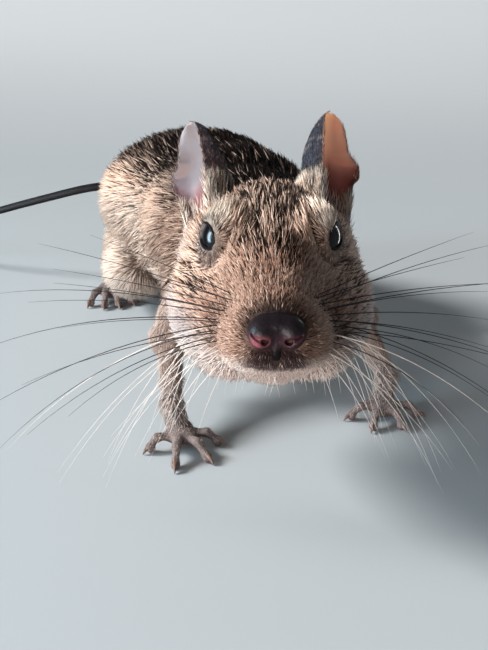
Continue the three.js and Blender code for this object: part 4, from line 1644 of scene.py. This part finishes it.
def ear_axes(ear):
    """Length, up, across and ahead of an ear, turned about its own length."""
    up = np.array(ear["tip"], float) - ear["foot"]
    length = np.linalg.norm(up)
    up /= length
    across = unit(np.array([1.0, 0, 0]) - up * up[0])
    ahead = np.cross(across, up)
    c, s = math.cos(math.radians(ear["turn"])), math.sin(math.radians(ear["turn"]))
    across, ahead = c * across + s * np.cross(up, across), c * ahead + s * np.cross(up, ahead)
    return length, up, across, ahead


def ear_section(ear, row):
    """The line across the ear's leaf at one height, from its front edge to its hind edge."""
    height = max(row, 0)
    depth = read_curve(FOLD_DEPTH, height)
    hind = read_curve(INNER_REACH, height)
    edge = read_curve(ear["front"], height)
    inner_side = read_curve(ear["side"], height)
    section = np.array(
        [
            [-edge, 4.5 * depth, 0],
            [-0.2 * edge - 0.8 * inner_side, 3 * depth, 0],
            [-inner_side, 0, 0],
            [-0.73 * inner_side, -3.2 * depth, 0],
            [0.35 * hind, -4.6 * depth, 0],
            [hind, -0.8 * hind, 0],
        ]
    )
    curve = catmull_rom(section, 30)
    samples = np.arange(len(curve))
    t = EAR_ACROSS * samples[-1]
    q = np.stack([np.interp(t, samples, curve[:, j]) for j in (0, 1)], 1)
    near_rows = np.clip(row + np.linspace(-0.03, 0.03, 5), 0, 1)
    lobe = read_curve(HIND_REACH, near_rows).mean() / read_curve(INNER_REACH, near_rows).mean()
    return q * (1 + (lobe - 1) * smooth_step(EAR_ACROSS, 0.68, 1.0)[:, None])


def creases(column, row):
    """The ear's inner folds: their wave, from -1 to 1, and where they show."""
    reach = smooth_step(column, 0.2, 0.4) * (1 - smooth_step(row, 0.4, 0.7))
    return np.sin(column * 24 + 7 * row), reach


def ear_grid(ear):
    foot = np.array(ear["foot"], float)
    length, up, across, ahead = ear_axes(ear)
    walls = {-1: [], 1: []}
    for row in EAR_HEIGHTS:
        q = ear_section(ear, row)
        along = unit(np.gradient(q, axis=0))
        out = np.stack([along[:, 1], -along[:, 0]], 1)
        half = EAR_HALF * np.sqrt(np.clip(1 - (2 * EAR_ACROSS - 1) ** 8, 0, 1)) * (1.3 - 0.5 * max(row, 0))
        wave, reach = creases(EAR_ACROSS, row)
        fold = 0.3 * wave * reach * smooth_step(row, 0.0, 0.15) * (1 - smooth_step(EAR_ACROSS, 0.8, 1))
        middle = q + out * (0.28 - fold)[:, None]
        for sign, wall in walls.items():
            w = middle + sign * half[:, None] * out
            wall.append(foot + row * length * up + w[:, :1] * across + w[:, 1:] * ahead)
    return [np.array(wall) for wall in walls.values()]


def ear_mesh(ear, mirror):
    """Points and faces of an ear, and each point's row, column and side, 1 for the inner one."""
    points = np.concatenate([wall.reshape(-1, 3) for wall in ear_grid(ear)])
    count = EAR_ROWS * EAR_COLUMNS
    number = np.arange(count).reshape(EAR_ROWS, EAR_COLUMNS)
    faces = []
    for a, flip in ((number, False), (number + count, True)):
        for r in range(EAR_ROWS - 1):
            for k in range(EAR_COLUMNS - 1):
                face = (a[r, k], a[r, k + 1], a[r + 1, k + 1], a[r + 1, k])
                faces.append(face[::-1] if flip else face)
    border = [*number[0, :], *number[1:, -1], *number[-1, -2::-1], *number[-2:0:-1, 0]]
    for a, b in zip(border, border[1:] + border[:1]):
        faces.append((b, a, a + count, b + count))
    if mirror:
        points = points * (-1, 1, 1)
        faces = [face[::-1] for face in faces]
    row = np.tile(np.repeat(EAR_HEIGHTS, EAR_COLUMNS), 2)
    column = np.tile(EAR_ACROSS, 2 * EAR_ROWS)
    return points, faces, row, column, np.repeat((1, 0), count)


print("ear wall", 2 * EAR_HALF, "mm thick")

# %% [markdown]
# The ears are dark slate outside and bare inside. Light comes through the left one, so its inner
# face is painted warm orange as painted light, and a darker band, a groove behind and the lobe's edge
# are painted shade. The right one faces the sky and looks pale and pink at its foot; its inner hollow
# and lobe are darkened with painted shade. The folds inside both ears carry painted shade. Both have
# woolly pale hair at the foot and a thin fringe along the rim.

# %% Skin and hair of the ears
SLATE = paint(66, 70, 80)
RIM_TONE = paint(150, 110, 100)
EAR_FOOT_TONE = paint(206, 180, 166)
WOOL = paint(240, 228, 216)
SHADED_WOOL = paint(104, 82, 70)
CREASE_SHADE = (0.25, 0.5, 0.48)


def left_inner_tone_glow_and_shade(row, column):
    low = 1 - smooth_step(row, 0.5, 0.75)
    groove = np.exp(-(((column - 0.74) / 0.035) ** 2))
    # Warm orange is painted light, for light that comes through the ear; the darker band, the groove and
    # the darker lobe edge are painted shade.
    return overlay(
        plain(paint(236, 178, 148), len(row)),
        (paint(126, 80, 74), smooth_step(column, 0.66, 0.8) * (0.5 + 0.5 * low)),
        (paint(74, 44, 42), 0.8 * groove * low),
        (paint(96, 60, 56), 0.7 * smooth_step(column, 0.9, 0.97) * low),
    )


def right_inner_tone_and_shade(row, column):
    # The dip over the inner hollow and the darker lobe are painted shade.
    dip = np.exp(-(((column - 0.45) / 0.16) ** 2) - ((row - 0.66) / 0.16) ** 2)
    lobe = smooth_step(column, 0.78, 0.9) * (1 - smooth_step(row, 0.45, 0.65))
    return overlay(
        plain(paint(150, 143, 145), len(row)),
        (paint(176, 116, 110), 0.9 * (1 - smooth_step(row, 0.15, 0.5))),
        (paint(134, 104, 106), 0.7 * dip),
        (paint(128, 116, 128), 0.6 * lobe),
    )


INNER_TONES = {"left": left_inner_tone_glow_and_shade, "right": right_inner_tone_and_shade}
ear_skin, tree, shader = toned_material(
    "ear_skin",
    Roughness=0.5,
    Specular_IOR_Level=0.35,
    Subsurface_Weight=0.6,
    Subsurface_Radius=(0.0018, 0.0011, 0.0009),
    Subsurface_Scale=1.0,
)
relief(tree, shader, "ShaderNodeTexNoise", on_object(tree), 0.35, 0.00015, Scale=900.0, Detail=4.0)

for side, shape in EARS.items():
    points, faces, row, column, inside = ear_mesh(shape, side == "right")
    outside = 1 - inside
    rim = np.minimum(column, 1 - column)
    on_rim = 1 - smooth_step(rim, 0.0, 0.06)
    wave, reach = creases(column, row)
    crease = (0.5 + 0.5 * wave) * reach * inside
    shade = overlay(INNER_TONES[side](row, column), (SLATE, outside * smooth_step(column, 0.0, 0.03)))
    shade = overlay(
        shade * (1 - crease[:, None] * CREASE_SHADE),
        (RIM_TONE, 0.6 * (1 - smooth_step(rim, 0.004, 0.02))),
        (EAR_FOOT_TONE, 0.7 * (1 - smooth_step(row, 0.0, 0.22)) * outside),
    )
    fringe = 1 - smooth_step(row, 0.1, 0.4)
    in_shade = (side == "right") * fringe * outside * smooth_step(column, 0.3, 0.55)
    way = unit(np.array(shape["tip"], float) - shape["foot"]) * (SIDES[side], 1, 1)
    corner = MAP_CORNERS[f"ear_{side}"]
    spot = [corner[0] + (0.01 * inside + 0.04 * column), corner[1] + 0.08 * row, 0 * row]
    facts = hair_facts(
        lie=plain(way, len(points)),
        long=(0.8 + 2.8 * fringe + 0.3 * on_rim) * (1 - 0.6 * smooth_step(row, 0.85, 1)),
        wide=0.06 + 0.08 * fringe,
        dense=14 * outside + 30 * on_rim + 10 * fringe * outside + 4 * fringe,
        flat_place=np.column_stack(spot),
        dusk=-0.1 + 0.45 * outside,
        tone=overlay(shade, (WOOL, fringe), (SHADED_WOOL, in_shade)),
    )
    ear = make_object(f"ear_{side}", points, faces)
    dress(ear, facts, ear_skin, "ear_skin", f"ear_{side}")
    grow_coat(f"hairs_ear_{side}", ear, 1, "face_fur", Seed=41, Lift=0.16)
    store(ear, "tone", "FLOAT_COLOR", opaque(shade))

# %% [markdown]
# ## Eyes and lids
# The eyes are large, round and nearly black, with a slit pupil that hardly shows. The iris is tinted
# a cool grey, which is partly a painted reflection of bluish light. Each sits in its socket behind
# two dark lids, which leave an opening that is taller than it is wide from the front. A real eye has
# a clear front over an iris. This one is so dark that a plain ball with a wet coat does as well: a
# stack of rings round the gaze, with a slight bulge in front. The lids are one band round the
# opening, rolled like a tyre, and a little thicker above, with a painted highlight on the inner rim
# towards the rear.

# %% Eyeballs and lids
EYE_RINGS = 48
EYE_SIDES = 64
LID_SIDES = 96
EYE_BULGE = 0.28
EYE_INSET = 0.14
POLE = 0.02
EYE_BLACK = paint(20, 15, 15)
# Cool grey iris: partly its own dark colour, partly a painted reflection of bluish light.
IRIS_AND_PAINTED_REFLECTION = paint(30, 33, 36)
PUPIL = paint(3, 3, 4)
LID_BLACK = paint(24, 18, 18)
LID_PAINTED_HIGHLIGHT = paint(206, 190, 184)
CORNER_STRETCH = math.radians(5)
# Degrees out from the opening, height over the eyeball, and how much of the painted highlight on the lid's
# rim shows
LID_PROFILE = (
    (-1, -0.3, 1),
    (-1.6, 0.04, 1),
    (-1.8, 0.2, 1),
    (-0.8, 0.36, 0.4),
    (1.0, 0.44, 0),
    (3, 0.42, 0),
    (5.5, 0.16, 0),
    (5.5, -0.4, 0),
)

wet_eye, _, _ = toned_material(
    "wet_eye",
    Roughness=0.3,
    Specular_IOR_Level=0.05,
    Coat_Weight=1.0,
    Coat_IOR=1.5,
    Coat_Roughness=0.17,
)
lid_skin, _, _ = toned_material("lid_skin", Roughness=0.6, Specular_IOR_Level=0.15)


def round_gaze(sign, polar, turn, radius):
    """Points round one eye, by their angle from its gaze and their turn about it."""
    gaze = unit(GAZE * (sign, 1, 1))
    side, up = axes_of(gaze)
    outwards = np.cos(turn)[..., None] * side + np.sin(turn)[..., None] * up
    way = np.cos(polar)[..., None] * gaze + np.sin(polar)[..., None] * outwards
    return EYE * (sign, 1, 1) + radius[..., None] * way


def eyeball(sign):
    turns = np.arange(EYE_SIDES) / EYE_SIDES * 2 * math.pi
    polar, turn = np.meshgrid(np.linspace(POLE, math.pi - POLE, EYE_RINGS), turns, indexing="ij")
    bulge = EYE_BULGE * np.exp(-((polar / 0.55) ** 2))
    points = round_gaze(sign, polar, turn, EYE_RADIUS + bulge - EYE_INSET).reshape(-1, 3)
    ends = [tuple(range(EYE_SIDES)), tuple(range(len(points) - 1, len(points) - 1 - EYE_SIDES, -1))]
    on_iris = 1 - smooth_step(polar.ravel(), 0.55, 0.8)
    slit = np.abs(np.sin(polar) * np.cos(turn)).ravel() / 0.12
    on_pupil = on_iris * (1 - smooth_step(slit, 0.8, 1.3))
    shade = overlay(plain(EYE_BLACK, len(points)), (IRIS_AND_PAINTED_REFLECTION, on_iris), (PUPIL, on_pupil))
    return points, ring_faces(EYE_RINGS, EYE_SIDES) + ends, shade


def both_lids(sign):
    around = np.arange(LID_SIDES) / LID_SIDES * 2 * math.pi
    turned = around + sign * OPENING_TILT
    wide = 1 / np.hypot(np.cos(around) / OPENING_WIDE, np.sin(around) / OPENING_TALL)
    opening = wide + CORNER_STRETCH * np.abs(np.cos(around)) ** 10
    upper = smooth_step(np.sin(turned), -0.2, 0.6)
    loops = []
    for degrees, height, _ in LID_PROFILE:
        lift = height * (1 + 0.35 * upper * (height > 0.1))
        loops.append(round_gaze(sign, opening + np.radians(degrees), turned, EYE_RADIUS + lift))
    points = np.concatenate(loops)
    # The lid's inner rim is paler towards the rear: a painted highlight, as on a wet rim catching light.
    rear = np.tile(smooth_step(sign * np.cos(around), 0.6, 0.95), len(LID_PROFILE))
    pale = np.repeat([pale for _, _, pale in LID_PROFILE], LID_SIDES)
    shade = overlay(plain(LID_BLACK, len(points)), (LID_PAINTED_HIGHLIGHT, 0.35 * rear * pale))
    return points, ring_faces(len(LID_PROFILE), LID_SIDES, closed=True), shade


for side, sign in SIDES.items():
    points, faces, shade = eyeball(sign)
    eye = make_object(f"eye_{side}", points, faces)
    dress(eye, colour_only(shade), wet_eye, "eye", f"eye_{side}")
    points, faces, shade = both_lids(sign)
    lids = make_object(f"lids_{side}", points, faces)
    dress(lids, colour_only(shade), lid_skin, "face_fur")
    print(side, "eye and lids:", len(eye.data.polygons), "and", len(faces), "faces")

# %% [markdown]
# ## Nose
# The nose pad is bare and damp. Two nostrils open to the sides like commas, and a groove runs down
# from between them to the lip. It could be sculpted, but as a field, hollowed by short tapers, it is
# the same form that keeps the hair away from it. It gets a fine net of its own. Pink skin shows
# round the nostril on the lit side only, as painted light, and the nostrils are painted dark inside
# as painted shade.

# %% Nose
NOSE_CELL = 0.13
NOSE_BOX = ((-5.2, -2, 27), (5.2, 5.5, 37))
nostrils = [
    limb((sign * 1.6, -0.5, 32.0), (sign * 3.3, 0.6, 32.9), 0.4, 0.2) for sign in SIDES.values()
]
nostrils += [
    limb((sign * 1.5, -0.5, 31.9), (sign * 1.7, 1.2, 32.1), 0.55, 0.5) for sign in SIDES.values()
]
groove = limb((0, -0.5, 32.0), (0, 0.2, 28.4), 0.3, 0.3)
nose_field = hollow(0.35, nose_form, *nostrils, groove)
points, faces = surface_net(nose_field, *NOSE_BOX, NOSE_CELL)
points, _ = settle(nose_field, points)
into = np.min([nostril(points) for nostril in nostrils], axis=0)
# Pink nostril skin, painted round the nostril on the lit side only: own colour and painted light.
lit_side_pink = np.linalg.norm((points - (-2.3, -0.4, 32.1)) * (0.9, 0.6, 1.2), axis=1)
shade = overlay(
    plain(paint(52, 34, 40), len(points)),
    (paint(186, 104, 112), 0.9 * (1 - smooth_step(lit_side_pink, 0.5, 1.7))),
    (paint(84, 44, 52), 0.5 * (1 - smooth_step(np.abs(into - 0.2), 0.05, 0.5))),
    (paint(27, 20, 24), smooth_step(points[:, 2], 32.6, 33.8)),
    (paint(18, 11, 13), smooth_step(31.2 - points[:, 2], 0, 0.8)),
    # Inside the nostrils the skin is painted near black: painted shade in the hollows.
    (paint(40, 12, 16), 1 - smooth_step(into, -0.15, 0.12)),
)
nose_skin, tree, shader = toned_material(
    "nose_skin", Roughness=0.5, Specular_IOR_Level=0.3, Coat_Weight=0.12, Coat_Roughness=0.25
)
relief(tree, shader, "ShaderNodeTexVoronoi", on_object(tree), 0.5, 0.0001, Scale=2600.0)
nose = make_object("nose", points, faces)
dress(nose, colour_only(shade), nose_skin, "nose_skin", "nose")
print("nose", len(faces), "faces")

# %% [markdown]
# ## Whiskers
# Rows of long whiskers stand on each side of the muzzle. The upper ones are dark and reach level
# and back, the lower ones are pale and hang. Each is a tube of four sides from its root on the skin,
# with a little chance in its place, length and fall.

# %% Whiskers
WHISKER_SIDES = 4
WHISKER_RADIUS = ((0, 0.09), (0.35, 0.068), (1, 0.015))
PALE_THINNER = 0.75
WHISKER_BLACK = paint(22, 18, 20)
WHISKER_WHITE = paint(232, 222, 214)
LOWEST_WHISKER = 0.4


def on_head(sign, y, z):
    """Where a level line from the middle plane leaves the skin of the head."""
    low, high = 0.0, 30.0
    for _ in range(24):
        middle = (low + high) / 2
        if skin_field(np.array([[sign * middle, y, z]]))[0] < 0:
            low = middle
        else:
            high = middle
    return np.array([sign * low, y, z])


draw = np.random.default_rng(7)


def whisker(sign, row, column):
    """The tube of one whisker, and its colour."""
    height = row.height + ROW_SLOPE * column + draw.uniform(-0.3, 0.3)
    root = on_head(sign, row.front + row.spacing * column, height)
    length = row.reach * (0.66 + 0.34 * column / row.count) * draw.uniform(0.8, 1.08)
    sweep = row.back * (0.1 + 0.4 * column) + draw.uniform(-0.14, 0.14)
    way = unit(np.array([sign, sweep, row.lift + draw.uniform(-0.1, 0.1)]))
    fall = -row.hang * length * draw.uniform(0.7, 1.25)
    t = np.linspace(0, 1, 17)[:, None]
    bend = np.array([-sign * row.hang * 0.3 * length, 1.5, fall])
    line = root - 0.6 * way + way * t * length + t**1.8 * bend
    line[:, 2] = np.maximum(line[:, 2], LOWEST_WHISKER)
    radius = read(WHISKER_RADIUS, t[:, 0]) * (PALE_THINNER if row.dark < 0.5 else 1)
    colour = WHISKER_BLACK if draw.uniform() < row.dark else WHISKER_WHITE
    return tube(line, radius, WHISKER_SIDES), colour


whisker_skin, _, _ = toned_material("whisker", Roughness=0.35, Specular_IOR_Level=0.5)
for side, sign in SIDES.items():
    grown_whiskers = [
        whisker(sign, row, column) for row in WHISKER_ROWS for column in range(row.count)
    ]
    points, faces, owner = gather([form for form, _ in grown_whiskers])
    tones = np.array([colour for _, colour in grown_whiskers])
    whisker_piece = make_object(f"whiskers_{side}", points, faces)
    dress(whisker_piece, colour_only(tones[owner]), whisker_skin, "nose_skin", f"whiskers_{side}")
    print("whiskers", side, len(grown_whiskers))

# %% [markdown]
# The coats are grown, so the tufts that they were made from can go.

# %% Clear away the tufts
for tuft in list(tufts.objects):
    bpy.data.objects.remove(tuft)
bpy.data.collections.remove(tufts)

# %% [markdown]
# ## Stage, light and camera
# The model stands on pale grey paint that rises behind it in one curve, so the camera sees no edge.
# Far back the paint glows a little, like a wall in daylight, so that it doesn't fall off to dark.
#
# A broad sun from the upper left models the fur and throws the long soft shadow. A weak warm one
# from behind edges the coat. A cool window on the left and a low bounce in front fill the shadows,
# a narrow spot warms the thin left ear, and a small near lamp puts the glint into the left eye. The
# floor and the sun stay out of mirror-like reflections, or the wet eyes would look grey.
#
# The camera looks down by twenty degrees from close in front of the nose, which makes the head large
# and the hips small.

# %% Floor and backdrop
FLOOR_HALF = 2600
BACKDROP_START = 300
BACKDROP_RADIUS = 1500
BACKDROP_TOP = 2600
BACKDROP_GLOW = (0.42, 0.43, 0.44, 1)
FLOOR_GREY = paint(178, 184, 187)

# Depth, height and glow of each line across the floor
profile = [(-FLOOR_HALF, 0.0, 0.0)]
for angle in np.linspace(0, math.pi / 2, 25):
    depth = BACKDROP_START + BACKDROP_RADIUS * math.sin(angle)
    height = BACKDROP_RADIUS * (1 - math.cos(angle))
    profile.append((depth, height, float(smooth_step(angle, 0, 0.6))))
profile.append((BACKDROP_START + BACKDROP_RADIUS, BACKDROP_TOP, 1.0))

floor_points = [(x, y, z) for y, z, _ in profile for x in (-FLOOR_HALF, FLOOR_HALF)]
floor_faces = [(2 * k, 2 * k + 1, 2 * k + 3, 2 * k + 2) for k in range(len(profile) - 1)]
floor = make_object("floor", floor_points, floor_faces)
store(floor, "glow", "FLOAT_COLOR", [(g, g, g, 1) for _, _, g in profile for _ in range(2)])
floor_finish, tree, shader = new_material(
    "floor_paint",
    Base_Color=(*FLOOR_GREY, 1),
    Roughness=0.8,
    Specular_IOR_Level=0.2,
    Emission_Strength=1.0,
)
glow = mix_colours(tree, attribute(tree, "glow"), (0, 0, 0, 1), BACKDROP_GLOW)
tree.links.new(glow, shader.inputs["Emission Color"])
floor.data.materials.append(floor_finish)
floor.visible_glossy = False
print("backdrop of", len(floor_faces), "faces")

# %% Light


def add_light(name, kind, spot, target, power, colour, **options):
    """A light at one place that looks at another, both in millimetres of the working frame."""
    light = bpy.data.lights.new(name, kind)
    light.energy = power
    light.color = colour
    for key, value in options.items():
        setattr(light, key, value)
    made = bpy.data.objects.new(name, light)
    made.location = Vector(place(spot))
    aim = Vector(place(target)) - made.location
    made.rotation_euler = aim.to_track_quat("-Z", "Y").to_euler()
    bpy.context.scene.collection.objects.link(made)
    return made


sun = add_light(
    "sun",
    "SUN",
    spot=(-460, 150, 310),
    target=(0, 40, 20),
    power=5.1,
    colour=(1.0, 0.975, 0.95),
    angle=math.radians(16),
)
sun.visible_glossy = False
add_light(
    "rim",
    "SUN",
    spot=(240, 330, 170),
    target=(0, 30, 30),
    power=0.95,
    colour=(1.0, 0.8, 0.64),
    angle=math.radians(5),
)
add_light(
    "window",
    "AREA",
    spot=(-420, -60, 60),
    target=(-5, 25, 38),
    power=2.7,
    colour=(0.66, 0.87, 1.0),
    shape="RECTANGLE",
    size=0.13,
    size_y=0.34,
)
add_light(
    "bounce",
    "AREA",
    spot=(-150, -260, 8),
    target=(-3, 8, 28),
    power=1.2,
    colour=(1.0, 0.9, 0.87),
    shape="DISK",
    size=0.2,
)
add_light(
    "ear_light",
    "SPOT",
    spot=(60, -70, 90),
    target=(14, 50, 53),
    power=0.16,
    colour=(1.0, 0.88, 0.8),
    spot_size=math.radians(10),
    spot_blend=1.0,
)
glint = add_light(
    "glint",
    "AREA",
    spot=(64, 88, 36),
    target=(7, 26, 40),
    power=0.012,
    colour=(1.0, 1.0, 1.0),
    shape="RECTANGLE",
    size=0.008,
    size_y=0.07,
)
glint.visible_diffuse = False

world = bpy.data.worlds.new("soft_room")
world.use_nodes = True
background = world.node_tree.nodes["Background"]
background.inputs["Color"].default_value = (0.86, 0.93, 1.0, 1)
background.inputs["Strength"].default_value = 0.105
bpy.context.scene.world = world
print(len(bpy.data.lights), "lights")

# %% Camera
CAMERA_SPOT = (-4.4, -89, 67)
CAMERA_PITCH = math.radians(20)
camera_data = bpy.data.cameras.new("camera")
camera_data.sensor_fit = "AUTO"
camera_data.sensor_width = 36
camera_data.lens = 39.88
camera_data.clip_start = 0.005
camera = bpy.data.objects.new("camera", camera_data)
camera.location = Vector(place(CAMERA_SPOT))
camera.rotation_euler = (math.pi / 2 - CAMERA_PITCH, 0, 0)
bpy.context.scene.collection.objects.link(camera)
bpy.context.scene.camera = camera
bpy.context.scene.view_settings.view_transform = "Standard"
print("camera at", [round(v, 4) for v in camera.location])
